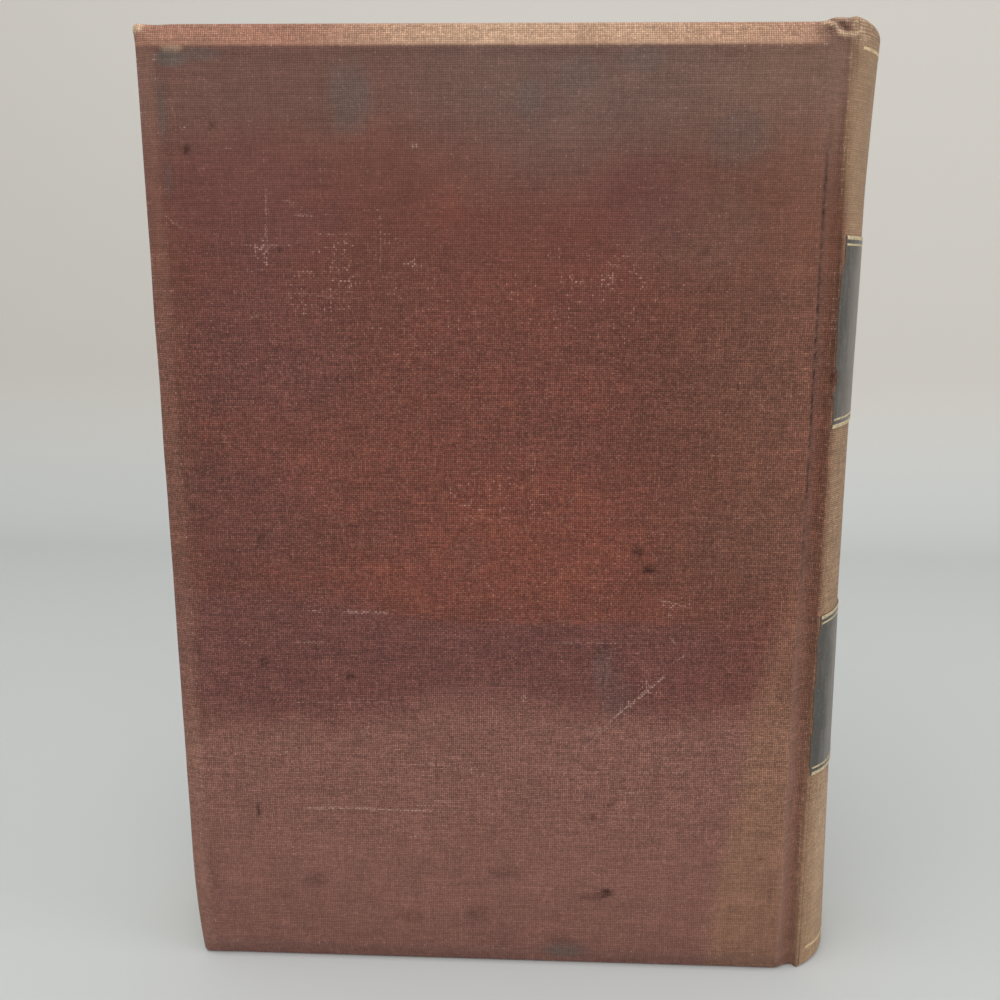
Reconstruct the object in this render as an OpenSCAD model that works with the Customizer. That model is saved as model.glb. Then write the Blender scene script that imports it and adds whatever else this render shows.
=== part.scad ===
// Cloth-bound hardback book with bevelled boards and a rounded spine, standing on its tail.
// X runs from the fore-edge to the spine, Y through the thickness, Z from tail to head.
// The back cover is on the -Y side. The origin is under the middle of the book, at the tail.

/* [Boards] */
// Height of the covers, tail to head
board_h = 241; // [180:0.5:320]
// Width of one cover over its cloth, fore-edge to joint
board_w = 160; // [120:0.5:220]
// Thickness of a bare board
board_t = 3.9; // [2.5:0.1:6]
// Width of the bevel on head, tail and fore-edge
bevel_w = 5.3; // [2:0.1:10]
// Depth of the bevel at the edge
bevel_d = 1.8; // [0.5:0.1:2.2]
// Rounding of a cover's two corners at the fore-edge, over the cloth
corner_r = 1.4; // [1:0.1:3]
// Height of the worn lower corner of the back cover
worn_corner_h = 30; // [10:1:50]
// How far the worn corner has gone in
worn_corner_d = 1.8; // [0.5:0.1:3]

/* [Cloth] */
// Thickness of the cover cloth
cloth_t = 0.45; // [0.3:0.01:0.7]
// How far the cloth is turned in over the edges
turn_in = 15; // [10:0.5:22]
// Width of the seam where two turn-ins meet at a corner
mitre_gap = 0.3; // [0.1:0.05:0.6]

/* [Joint] */
// Flat floor of the joint groove, from the board to the hinge line
groove_w = 3.2; // [2.8:0.1:5]
// From the board to the ridge of the spine
ridge_w = 5.4; // [5:0.1:8]
// Clear slit along the hinge line
hinge_gap = 0.3; // [0.2:0.05:0.5]

/* [Text block] */
// Thickness of the leaves pressed together
text_t = 26; // [12:0.5:60]
// Overhang of the covers at head and tail
square_h = 3.5; // [2:0.1:6]
// Overhang of the covers at the fore-edge
square_w = 4; // [2:0.1:8]
// Depth of the hollow in the fore-edge
fore_hollow = 4.5; // [1:0.1:8]
// Flat strip left beside the hollow
fore_flat = 0.4; // [0.2:0.1:2]
// Height of the backed shoulder over the side of the leaves
shoulder_h = 1.6; // [0.8:0.1:2.2]
// Width of the slope up to the shoulder
shoulder_w = 1.5; // [0.8:0.1:2.5]

/* [Spine] */
// Height of the spine ridge over the side of the leaves
ridge_h = 3.4; // [2.8:0.1:4.5]
// Rise of the rounded spine over its two ridges
spine_rise = 8.1; // [5:0.1:14]
// Rounding of the spine at head and tail, seen from the side
cap_r = 2.5; // [1.5:0.1:3.4]
// Thickness of the card strip inside the spine
inlay_t = 0.6; // [0.4:0.05:1]
// How far the card strip stays back from each ridge
inlay_back = 1; // [0.5:0.1:2]
// Hollow between the card strip's turn-ins and the lined leaves
hollow = 0.2; // [0.1:0.05:0.4]
// Thickness of the paper lining
lining_t = 0.3; // [0.15:0.05:0.5]
// Thickness of the mull
mull_t = 0.25; // [0.15:0.05:0.4]
// Film of paste under the mull, the lining and each label
paste_t = 0.03; // [0.02:0.01:0.1]
// How far lining and mull end from head and tail of the cover
lining_short = 18; // [16:0.5:30]
// How far lining and mull stay back from each shoulder
lining_back = 0.5; // [0.2:0.1:1]

/* [Endpapers] */
// Thickness of one endpaper leaf
paper_t = 0.2; // [0.1:0.05:0.4]
// Air between flyleaf and pastedown when closed
leaf_gap = 0.3; // [0.2:0.05:0.6]
// Cloth left showing round a pastedown
margin = 4.5; // [2:0.5:8]
// Width of the mull flap on the inside of a board
flap_w = 32; // [20:1:45]

/* [Bands] */
// Thickness of the headband bead
band_d = 2; // [1.2:0.1:3]
// Length of the band's tongue down the spine
band_tongue = 9; // [5:0.5:12]
// Thickness of the tongue
band_tongue_t = 0.2; // [0.1:0.05:0.3]
// How far the tongue stays back from each end of the bead
tongue_back = 1.5; // [0.5:0.1:3]

/* [Labels] */
// Distance from the head of the cover to the head of the upper label
upper_label_in = 46.6; // [30:0.1:60]
// Height of the foot of the lower label
lower_label_z = 57; // [30:0.1:80]
// Height of each label
label_h = 44.6; // [20:0.1:60]
// Thickness of the label leather
label_t = 0.25; // [0.15:0.05:0.4]
// How far a label stays back from each ridge
label_back = 0.3; // [0.1:0.1:3]
// Width of the wide gilt rule on a label's edge
rule_wide = 0.9; // [0.4:0.05:1.5]
// Width of the narrow gilt rule inside it
rule_narrow = 0.5; // [0.3:0.05:1]
// Leather between the wide and the narrow rule
rule_space = 0.9; // [0.3:0.05:2]
// Distance of the spine's gilt lines from head and tail
line_in = 5; // [3.5:0.1:10]
// Width of a gilt line on the spine
line_w = 0.7; // [0.3:0.05:1]
// Thickness of the gilt
gilt_t = 0.06; // [0.04:0.01:0.1]
// Depth of the chips in the labels' side edges
chip_d = 1.1; // [0.3:0.1:2]

/* [Hidden] */
$fn = 96;

// Levels through the thickness, counted from the middle of the book outwards
text_y = text_t / 2;
paste_y = text_y + paper_t + leaf_gap;
turn_y = paste_y + paper_t;
board_y = turn_y + cloth_t;
board_top_y = board_y + board_t;
cover_y = board_top_y + cloth_t;
floor_y = board_y + cloth_t;
ridge_y = text_y + ridge_h;

// Places from the fore-edge to the spine
book_w = board_w + ridge_w + spine_rise + paste_t + label_t + gilt_t;
fore_x = -book_w / 2;
joint_x = fore_x + board_w;
hinge_x = joint_x + groove_w;
ridge_x = joint_x + ridge_w;
text_fore_x = fore_x + square_w;

// Rounded spine: every layer shares one centre
spine_r = (ridge_y * ridge_y + spine_rise * spine_rise) / (2 * spine_rise);
spine_x = ridge_x + spine_rise - spine_r;
inlay_r = spine_r - cloth_t - inlay_t;
turned_r = inlay_r - cloth_t;
lining_r = inlay_r - hollow - lining_t;
mull_r = lining_r - paste_t - mull_t;
text_r = mull_r - paste_t;
label_r = spine_r + paste_t;
text_z = square_h;
text_h = board_h - 2 * square_h;
lining_h = board_h - 2 * lining_short;
upper_label_z = board_h - upper_label_in - label_h;
inlay_y = ridge_y - inlay_back;
shoulder_y = text_y + shoulder_h;
lining_y = shoulder_y - lining_back;
cut = 0.5;
far = 4 * spine_r;

cloth_red = [0.42, 0.22, 0.18];
cloth_tan = [0.55, 0.42, 0.30];
paper_buff = [0.85, 0.79, 0.66];
endpaper_buff = [0.80, 0.74, 0.62];
mull_white = [0.82, 0.80, 0.72];
board_grey = [0.55, 0.50, 0.43];
label_black = [0.10, 0.10, 0.11];
gilt_pale = [0.78, 0.70, 0.48];
band_red = [0.60, 0.22, 0.18];

// Sideways size of an arc that reaches the height y on the circle r
function arc_x(r, y) = sqrt(r * r - y * y);

// Flat wedge about the spine's centre that ends where the circle r reaches y
module wedge(r, y) {
    x = arc_x(r, y) * far / r;
    polygon([[0, 0], [x, -y * far / r], [far, -far], [far, far], [x, y * far / r]]);
}

// Flat arc-shaped layer of the spine, about the spine's centre
module arc_layer(r_in, r_out, y) {
    intersection() {
        difference() {
            circle(r = r_out);
            circle(r = r_in);
        }
        wedge(r_in, y);
    }
}

// The same layer standing on the spine from z up to z + h
module spine_layer(r_in, r_out, y, z, h) {
    translate([spine_x, 0, z])
        linear_extrude(h)
            arc_layer(r_in, r_out, y);
}

// Outline of the book from the side, with round head and tail corners at the spine, set in by d
module side_profile(d) {
    x_end = spine_x + spine_r - d;
    r = cap_r - d;
    rotate([90, 0, 0])
        linear_extrude(2 * far, center = true)
            difference() {
                translate([fore_x, d])
                    square([x_end - fore_x, board_h - 2 * d]);
                for (z = [d, board_h - d], s = [z < board_h / 2 ? 1 : -1])
                    difference() {
                        translate([x_end - r, min(z - s * cut, z + s * r)])
                            square([r + cut, r + cut]);
                        translate([x_end - r, z + s * r])
                            circle(r = r);
                    }
            }
}

// Leaves with a rounded and backed spine and a hollow fore-edge
module text_outline() {
    hollow_y = text_y - fore_flat;
    hollow_r = (hollow_y * hollow_y + fore_hollow * fore_hollow) / (2 * fore_hollow);
    shoulder_x = spine_x + arc_x(text_r, shoulder_y);
    past_y = shoulder_y + shoulder_h;
    past_x = shoulder_x + shoulder_w;
    difference() {
        intersection() {
            polygon([[text_fore_x, -text_y], [shoulder_x - shoulder_w, -text_y], [past_x, -past_y],
                     [shoulder_x + far, -past_y], [shoulder_x + far, past_y], [past_x, past_y],
                     [shoulder_x - shoulder_w, text_y], [text_fore_x, text_y]]);
            union() {
                translate([spine_x, 0])
                    circle(r = text_r);
                translate([text_fore_x, -text_y])
                    square([spine_x - text_fore_x, text_t]);
            }
        }
        translate([text_fore_x + fore_hollow - hollow_r, 0])
            circle(r = hollow_r);
    }
}

module text_block() {
    color(paper_buff)
        translate([0, 0, text_z])
            linear_extrude(text_h)
                text_outline();
}

module spine_mull() {
    color(mull_white)
        spine_layer(mull_r, mull_r + mull_t, lining_y, lining_short, lining_h);
}

module spine_lining() {
    color(endpaper_buff)
        spine_layer(lining_r, lining_r + lining_t, lining_y, lining_short, lining_h);
}

// One sewn band seated on the end of the leaves: a bead along the arc and a tongue pasted down the spine
module band() {
    bead_r = band_d / 2;
    arc_r = text_r - bead_r + band_tongue_t / 2;
    end_angle = asin(lining_y / text_r);
    translate([spine_x, 0, bead_r])
        rotate([0, 0, -end_angle])
            rotate_extrude(angle = 2 * end_angle)
                translate([arc_r, 0])
                    circle(r = bead_r, $fn = 32);
    spine_layer(text_r, text_r + band_tongue_t, lining_y - tongue_back, -band_tongue, band_tongue + 1.2 * bead_r);
}

module headband() {
    color(band_red)
        translate([0, 0, text_z + text_h])
            band();
}

module tailband() {
    color(band_red)
        translate([0, 0, text_z])
            mirror([0, 0, 1])
                band();
}

// Flyleaf of the front endpaper: one leaf on the side of the leaves
module flyleaf() {
    color(endpaper_buff)
        translate([text_fore_x, text_y, text_z])
            cube([hinge_x - hinge_gap - text_fore_x, paper_t, text_h]);
}

module front_flyleaf() {
    flyleaf();
}

module back_flyleaf() {
    mirror([0, 1, 0])
        flyleaf();
}

// Case: spine

module spine_inlay() {
    color(board_grey)
        intersection() {
            spine_layer(inlay_r, inlay_r + inlay_t, inlay_y, cloth_t, board_h - 2 * cloth_t);
            side_profile(cloth_t);
        }
}

// Flat section of the cloth from the ridge down to the hinge line
module shoulder_wall() {
    base_x = hinge_x + hinge_gap / 2;
    base_y = floor_y - cloth_t;
    scale_in = (spine_r - cloth_t) / spine_r;
    polygon([[base_x, base_y], [ridge_x, ridge_y],
             [spine_x + (ridge_x - spine_x) * scale_in, ridge_y * scale_in],
             [base_x + 1.4 * cloth_t, base_y]]);
}

module spine_cloth() {
    color(cloth_tan)
        intersection() {
            union() {
                linear_extrude(board_h) {
                    translate([spine_x, 0])
                        arc_layer(spine_r - cloth_t, spine_r, ridge_y * (spine_r - cloth_t) / spine_r);
                    shoulder_wall();
                    mirror([0, 1])
                        shoulder_wall();
                }
                difference() {
                    spine_layer(turned_r, spine_r - cloth_t / 2, inlay_y, 0, board_h);
                    spine_layer(turned_r - cut, inlay_r, inlay_y + cut, turn_in, board_h - 2 * turn_in);
                    intersection() {
                        spine_layer(inlay_r, inlay_r + inlay_t, inlay_y + cut, cloth_t, board_h - 2 * cloth_t);
                        side_profile(cloth_t);
                    }
                }
            }
            side_profile(0);
        }
}

// Case: labels and gilt

module label(z) {
    label_y = ridge_y - label_back;
    side_x = arc_x(spine_r, label_y);
    difference() {
        spine_layer(label_r, label_r + label_t, label_y, z, label_h);
        for (chip = [[0.06, 1], [0.17, 0.7], [0.93, 0.6]])
            translate([spine_x + side_x, -label_y, z + chip[0] * label_h])
                rotate([0, 90, 0])
                    cylinder(r = chip_d * chip[1], h = 2 * ridge_w, center = true, $fn = 32);
    }
}

module label_rules(z) {
    label_y = ridge_y - label_back - chip_d;
    inner_z = rule_wide + rule_space;
    for (rule = [[0, rule_wide], [inner_z, rule_narrow],
                 [label_h - inner_z - rule_narrow, rule_narrow], [label_h - rule_wide, rule_wide]])
        spine_layer(label_r + label_t, label_r + label_t + gilt_t, label_y, z + rule[0], rule[1]);
}

module upper_label() {
    color(label_black)
        label(upper_label_z);
}

module lower_label() {
    color(label_black)
        label(lower_label_z);
}

module upper_label_rules() {
    color(gilt_pale)
        label_rules(upper_label_z);
}

module lower_label_rules() {
    color(gilt_pale)
        label_rules(lower_label_z);
}

module spine_gilt_lines() {
    line_y = ridge_y - label_back;
    color(gilt_pale)
        for (z = [line_in, board_h - line_in - line_w])
            spine_layer(spine_r, spine_r + gilt_t, line_y, z, line_w);
}

// Case: covers. Each is drawn for the front of the book, and mirrored for the back

// Outline of a cover from the side, with two round corners at the fore-edge, set in by d
module cover_profile(d) {
    r = corner_r - d;
    rotate([90, 0, 0])
        linear_extrude(2 * far, center = true)
            difference() {
                translate([fore_x + d, d])
                    square([board_w, board_h - 2 * d]);
                for (z = [d, board_h - d], s = [z < board_h / 2 ? 1 : -1])
                    difference() {
                        translate([fore_x + d - cut, min(z - s * cut, z + s * r)])
                            square([r + cut, r + cut]);
                        translate([fore_x + corner_r, z + s * r])
                            circle(r = r);
                    }
            }
}

// Upright block between two levels, bevelled on head, tail and fore-edge, set in by d
module bevelled_block(y_in, y_out, d) {
    slope = bevel_d / bevel_w;
    drop = d * (sqrt(1 + slope * slope) - 1);
    edge_y = y_out - bevel_d - drop + slope * d;
    flat_in = (y_out - edge_y) / slope;
    x0 = fore_x + d;
    intersection() {
        linear_extrude(board_h)
            polygon([[x0, y_in], [x0, edge_y], [x0 + flat_in, y_out], [joint_x - d, y_out], [joint_x - d, y_in]]);
        translate([fore_x, 0, 0])
            rotate([90, 0, 90])
                linear_extrude(board_w)
                    polygon([[y_in, d], [edge_y, d], [y_out, d + flat_in], [y_out, board_h - d - flat_in],
                             [edge_y, board_h - d], [y_in, board_h - d]]);
        cover_profile(d);
    }
}

// What the worn lower corner of a cover has lost, set in by d
module worn_corner(d) {
    r = (worn_corner_h * worn_corner_h + worn_corner_d * worn_corner_d) / (2 * worn_corner_d);
    difference() {
        translate([fore_x - cut, 0, -cut])
            cube([worn_corner_d + d + 2 * cut, 2 * cover_y, worn_corner_h + cut]);
        translate([fore_x + r, 0, worn_corner_h])
            rotate([-90, 0, 0])
                cylinder(r = r - d, h = 2 * cover_y, $fn = 360);
    }
}

module board(worn) {
    color(board_grey)
        difference() {
            bevelled_block(board_y, board_top_y, cloth_t);
            if (worn)
                worn_corner(cloth_t);
        }
}

// Cloth over the board, turned in on three sides and carried across the joint to the hinge line
module cover_cloth(worn) {
    side = sqrt(2) * turn_in;
    color(cloth_red)
        difference() {
            union() {
                difference() {
                    bevelled_block(turn_y, cover_y, 0);
                    translate([fore_x + turn_in, turn_y - cut, turn_in])
                        cube([board_w, cloth_t + cut, board_h - 2 * turn_in]);
                }
                translate([joint_x - cloth_t, board_y, 0])
                    cube([groove_w - hinge_gap / 2 + cloth_t, cloth_t, board_h]);
            }
            difference() {
                bevelled_block(board_y, board_top_y, cloth_t);
                if (worn)
                    worn_corner(cloth_t);
            }
            for (z = [0, board_h])
                translate([fore_x, turn_y - cut, z])
                    rotate([0, z > 0 ? 45 : -45, 0])
                        translate([(sqrt(2) - 1) * corner_r + cloth_t, 0, -mitre_gap / 2])
                            cube([side, cloth_t + cut, mitre_gap]);
            if (worn)
                worn_corner(0);
        }
}

// Pastedown: flat over turn-ins, mull flap and joint, and sunk onto the bare board between them
module pastedown() {
    sunk_x = fore_x + turn_in;
    sunk_w = board_w - turn_in - flap_w - cloth_t;
    sunk_h = board_h - 2 * turn_in;
    color(endpaper_buff)
        difference() {
            union() {
                translate([fore_x + margin, paste_y, margin])
                    cube([hinge_x - hinge_gap - fore_x - margin, paper_t, board_h - 2 * margin]);
                translate([sunk_x, paste_y, turn_in])
                    cube([sunk_w, board_y - paste_y, sunk_h]);
            }
            translate([sunk_x + paper_t, paste_y - cut, turn_in + paper_t])
                cube([sunk_w - 2 * paper_t, board_y - paste_y - paper_t + cut, sunk_h - 2 * paper_t]);
        }
}

// Mull pasted on the inside of the board and carried across the joint
module mull_flap() {
    color(mull_white)
        translate([joint_x - cloth_t - flap_w, board_y - mull_t, lining_short])
            cube([flap_w + cloth_t + groove_w - hinge_gap, mull_t, lining_h]);
}

module front_board() {
    board(false);
}

module front_cover_cloth() {
    cover_cloth(false);
}

module front_pastedown() {
    pastedown();
}

module front_mull_flap() {
    mull_flap();
}

module back_board() {
    mirror([0, 1, 0])
        board(true);
}

module back_cover_cloth() {
    mirror([0, 1, 0])
        cover_cloth(true);
}

module back_pastedown() {
    mirror([0, 1, 0])
        pastedown();
}

module back_mull_flap() {
    mirror([0, 1, 0])
        mull_flap();
}

text_block();
spine_mull();
spine_lining();
headband();
tailband();
spine_inlay();
spine_cloth();
upper_label();
lower_label();
upper_label_rules();
lower_label_rules();
spine_gilt_lines();
back_flyleaf();
front_flyleaf();
back_board();
back_cover_cloth();
back_pastedown();
back_mull_flap();
front_board();
front_cover_cloth();
front_pastedown();
front_mull_flap();
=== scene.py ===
import math
import bpy
import bmesh
import numpy as np
from mathutils import Matrix, Vector, noise


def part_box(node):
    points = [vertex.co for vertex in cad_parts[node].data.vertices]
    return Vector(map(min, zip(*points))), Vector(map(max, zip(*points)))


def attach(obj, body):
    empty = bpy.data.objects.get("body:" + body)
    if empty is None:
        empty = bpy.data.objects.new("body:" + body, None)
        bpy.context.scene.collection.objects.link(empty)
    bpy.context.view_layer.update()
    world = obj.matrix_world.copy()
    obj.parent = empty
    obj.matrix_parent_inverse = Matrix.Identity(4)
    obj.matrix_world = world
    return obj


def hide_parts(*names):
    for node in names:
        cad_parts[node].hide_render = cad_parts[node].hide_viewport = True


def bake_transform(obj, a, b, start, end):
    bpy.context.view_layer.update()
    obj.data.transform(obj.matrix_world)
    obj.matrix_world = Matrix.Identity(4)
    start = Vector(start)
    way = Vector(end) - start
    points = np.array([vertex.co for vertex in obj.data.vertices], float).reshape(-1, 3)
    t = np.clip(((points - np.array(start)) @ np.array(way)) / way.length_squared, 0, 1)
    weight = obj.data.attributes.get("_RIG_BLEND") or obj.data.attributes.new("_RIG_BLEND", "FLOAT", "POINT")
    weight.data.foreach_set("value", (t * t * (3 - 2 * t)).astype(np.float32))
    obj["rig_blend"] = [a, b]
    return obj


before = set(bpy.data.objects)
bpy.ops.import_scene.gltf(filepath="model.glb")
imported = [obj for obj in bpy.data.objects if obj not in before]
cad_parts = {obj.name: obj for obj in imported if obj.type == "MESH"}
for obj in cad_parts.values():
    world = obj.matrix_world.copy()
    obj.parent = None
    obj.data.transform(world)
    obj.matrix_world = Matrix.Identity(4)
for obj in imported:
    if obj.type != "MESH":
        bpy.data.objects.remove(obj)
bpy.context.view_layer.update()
mm = 0.001

# sizes that every piece shares, in millimetres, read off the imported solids
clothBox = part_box("front_cover_cloth")
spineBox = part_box("spine_cloth")
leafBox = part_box("text_block")
book = {
    "height": 241.0,
    "coverWide": 160.0,
    "edgeThick": 4.8,       # cover over its cloth, pastedown side to face
    "ridgeFromBoard": 5.4,
}
foreX = clothBox[0].x / mm
coverY = clothBox[1].y / mm
underY = coverY - book["edgeThick"]
jointX = foreX + book["coverWide"]
ridgeX = jointX + book["ridgeFromBoard"]
ridgeY = spineBox[1].y / mm
apexX = spineBox[1].x / mm
spineRise = apexX - ridgeX
spineR = (ridgeY ** 2 + spineRise ** 2) / (2 * spineRise)
spineX = apexX - spineR
ridgeAngle = math.asin(ridgeY / spineR)


# camera
camera = {
    "place": (104.78 - 86.92, -242.58 - 18.5, 180.46),
    "yaw": -3.75625e-2,
    "pitch": 2.03434e-1,
    "roll": -6.0385e-3,
    "lens": 36.0,
    "sensor": 36.0,
    "shiftX": -0.04356,
}


def added(name, data):
    # a new object, linked into the scene
    made = bpy.data.objects.new(name, data)
    bpy.context.scene.collection.objects.link(made)
    return made


def makeCamera(c):
    cy, sy = math.cos(c["yaw"]), math.sin(c["yaw"])
    cp, sp = math.cos(c["pitch"]), math.sin(c["pitch"])
    cr, sr = math.cos(c["roll"]), math.sin(c["roll"])
    forward = Vector((sy * cp, cy * cp, -sp))
    level = Vector((cy, -sy, 0))
    down = forward.cross(level)
    right = cr * level + sr * down
    down = -sr * level + cr * down
    data = bpy.data.cameras.new("bookCamera")
    data.lens = c["lens"]
    data.sensor_width = c["sensor"]
    data.shift_x = c["shiftX"]
    data.clip_start, data.clip_end = 0.01, 20
    shot = added("bookCamera", data)
    turn = Matrix((right, -down, -forward)).transposed().to_4x4()
    shot.matrix_world = Matrix.Translation(Vector(c["place"]) * mm) @ turn
    bpy.context.scene.camera = shot


makeCamera(camera)
print("camera placed")


# small helpers for materials and meshes
perMetre = 1000.0


def tone(r, g, b):
    return tuple(((c / 255 + 0.055) / 1.055) ** 2.4 if c > 10 else c / 255 / 12.92
                 for c in (r, g, b)) + (1.0,)


class Value:
    # an output of a node, so that sums are written as sums and each makes a Math node
    def __init__(self, tree, socket):
        self.tree, self.socket = tree, socket

    def __add__(self, other):
        return calc("ADD", self, other)

    def __sub__(self, other):
        return calc("SUBTRACT", self, other)

    def __rsub__(self, other):
        return calc("SUBTRACT", other, self)

    def __mul__(self, other):
        return calc("MULTIPLY", self, other)

    def __truediv__(self, other):
        return calc("DIVIDE", self, other)

    def __pow__(self, other):
        return calc("POWER", self, other)

    def __mod__(self, other):
        return calc("MODULO", self, other)

    def __abs__(self):
        return calc("ABSOLUTE", self)

    __radd__, __rmul__ = __add__, __mul__


def put(tree, kind, inputs=None, output=0, **settings):
    made = tree.nodes.new(kind)
    for name, value in settings.items():
        setattr(made, name, value)
    for key, value in (inputs or {}).items():
        if isinstance(value, Value):
            tree.links.new(value.socket, made.inputs[key])
        else:
            made.inputs[key].default_value = value
    return Value(tree, made.outputs[output]) if len(made.outputs) else made


def treeOf(*values):
    return next(value.tree for value in values if isinstance(value, Value))


def calc(operation, a, b=0.0, c=0.0):
    return put(treeOf(a, b, c), "ShaderNodeMath", {0: a, 1: b, 2: c}, operation=operation)


def ease(value, low, high, toLow=0.0, toHigh=1.0):
    return put(value.tree, "ShaderNodeMapRange", {0: value, 1: low, 2: high, 3: toLow, 4: toHigh},
               interpolation_type="SMOOTHSTEP")


def tint(share, a, b, blend="MIX"):
    return put(treeOf(share, a, b), "ShaderNodeMix", {0: share, 6: a, 7: b}, 2,
               data_type="RGBA", blend_type=blend)


def shaded(colour, light):
    grey = put(light.tree, "ShaderNodeCombineColor", {0: light, 1: light, 2: light})
    return tint(1.0, colour, grey, "MULTIPLY")


def speckle(place, scale, detail=2.0, rough=0.5):
    return put(place.tree, "ShaderNodeTexNoise",
               {"Vector": place, "Scale": scale, "Detail": detail, "Roughness": rough})


def stretch(place, x, y, z):
    return put(place.tree, "ShaderNodeVectorMath", {0: place, 1: (x, y, z)}, operation="MULTIPLY")


def vector(tree, x=0.0, y=0.0, z=0.0):
    return put(tree, "ShaderNodeCombineXYZ", {0: x, 1: y, 2: z})


def axis(place, number):
    return put(place.tree, "ShaderNodeSeparateXYZ", {0: place}, number)


def attribute(tree, name, output="Fac"):
    return put(tree, "ShaderNodeAttribute", None, output, attribute_name=name)


def newMaterial(name):
    made = bpy.data.materials.new(name)
    made.use_nodes = True
    made.node_tree.nodes.clear()
    return made, made.node_tree


def finishMaterial(tree, colour, rough, height, bump, distance, metallic=0.0, sheen=0.0, specular=0.5):
    relief = put(tree, "ShaderNodeBump", {"Height": height, "Strength": bump, "Distance": distance})
    skin = put(tree, "ShaderNodeBsdfPrincipled", {
        "Base Color": colour, "Roughness": rough, "Metallic": metallic, "Sheen Weight": sheen,
        "Specular IOR Level": specular, "Normal": relief})
    put(tree, "ShaderNodeOutputMaterial", {0: skin})


def objectPlace(tree):
    # the point on the piece, in millimetres
    return stretch(put(tree, "ShaderNodeTexCoord", None, "Object"), perMetre, perMetre, perMetre)


weld = 0.006 * mm     # points closer than this become one


def meshObject(name, grids, material):
    # each grid is (points, layers): points[i, j] in millimetres, layers a dict of values[i, j]
    bm = bmesh.new()
    floats = {key: (bm.verts.layers.float_vector if np.ndim(v) == 3 else bm.verts.layers.float).new(key)
              for key, v in grids[0][1].items()}
    for points, layers in grids:
        rows = [[bm.verts.new(p * mm) for p in row] for row in points]
        for key, values in layers.items():
            for i, row in enumerate(rows):
                for j, v in enumerate(row):
                    v[floats[key]] = values[i, j] if np.ndim(values) == 3 else float(values[i, j])
        for i in range(len(rows) - 1):
            for j in range(len(rows[0]) - 1):
                bm.faces.new((rows[i][j], rows[i + 1][j], rows[i + 1][j + 1], rows[i][j + 1]))
    bmesh.ops.remove_doubles(bm, verts=bm.verts, dist=weld)
    bmesh.ops.dissolve_degenerate(bm, edges=bm.edges, dist=1e-7)
    mesh = bpy.data.meshes.new(name)
    bm.to_mesh(mesh)
    bm.free()
    mesh.materials.append(material)
    mesh.polygons.foreach_set("use_smooth", [True] * len(mesh.polygons))
    return added(name, mesh)


def softStep(x, low, high):
    t = np.clip((x - low) / (high - low), 0, 1)
    return t * t * (3 - 2 * t)


def fall(x, low, high):
    return 1 - softStep(x, low, high)


def bump(x, mid, wide):
    return np.exp(-((x - mid) / wide) ** 2)


def ripple(a, b, seed):
    # smooth noise from -1 to 1, evaluated on arrays
    flat = [noise.noise(Vector((x, y, seed))) for x, y in zip(np.ravel(a), np.ravel(b))]
    return np.reshape(flat, np.shape(a))


def patchy(waves, base, share=1.0):
    return np.clip(base + share * waves, 0, 1)


def mark(layers, key, *shares):
    # each point keeps the strongest of what it has and what is added
    for share in shares:
        layers[key] = np.maximum(layers[key], share)


def roundSpine(R, A, Z):
    # points on the spine from radius, angle and height
    return np.stack([spineX + R * np.cos(A), R * np.sin(A), Z], -1)


# cover cloth: one woven cloth on both covers and the spine
clothLook = {
    "pitch": 0.51,                       # thread to thread, mm
    "run": 7.0,                          # crossings along one thread that wear together
    "face": tone(102, 61, 52),
    "redder": tone(119, 66, 53),
    "greyer": tone(109, 84, 75),
    "purple": tone(105, 64, 60),
    "pinker": tone(128, 87, 77),
    "tan": tone(137, 100, 78),
    "edge": tone(156, 112, 92),
    "cream": tone(200, 168, 138),
    "spine": tone(152, 122, 92),
    "thread": tone(156, 118, 96),
    "worn": tone(196, 160, 146),
    "dirtAndShade": tone(58, 40, 35),
    "stain": tone(94, 86, 80),
}
# the tone that each kind of wear shows as, in the order they lie on each other; the edge and cream tones also
# carry the head bevel's painted highlight
wearTones = {"red": "redder", "grey": "greyer", "purple": "purple", "pink": "pinker", "fade": "tan",
             "edge": "edge", "spineTone": "spine", "cream": "cream", "stain": "stain"}


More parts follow.
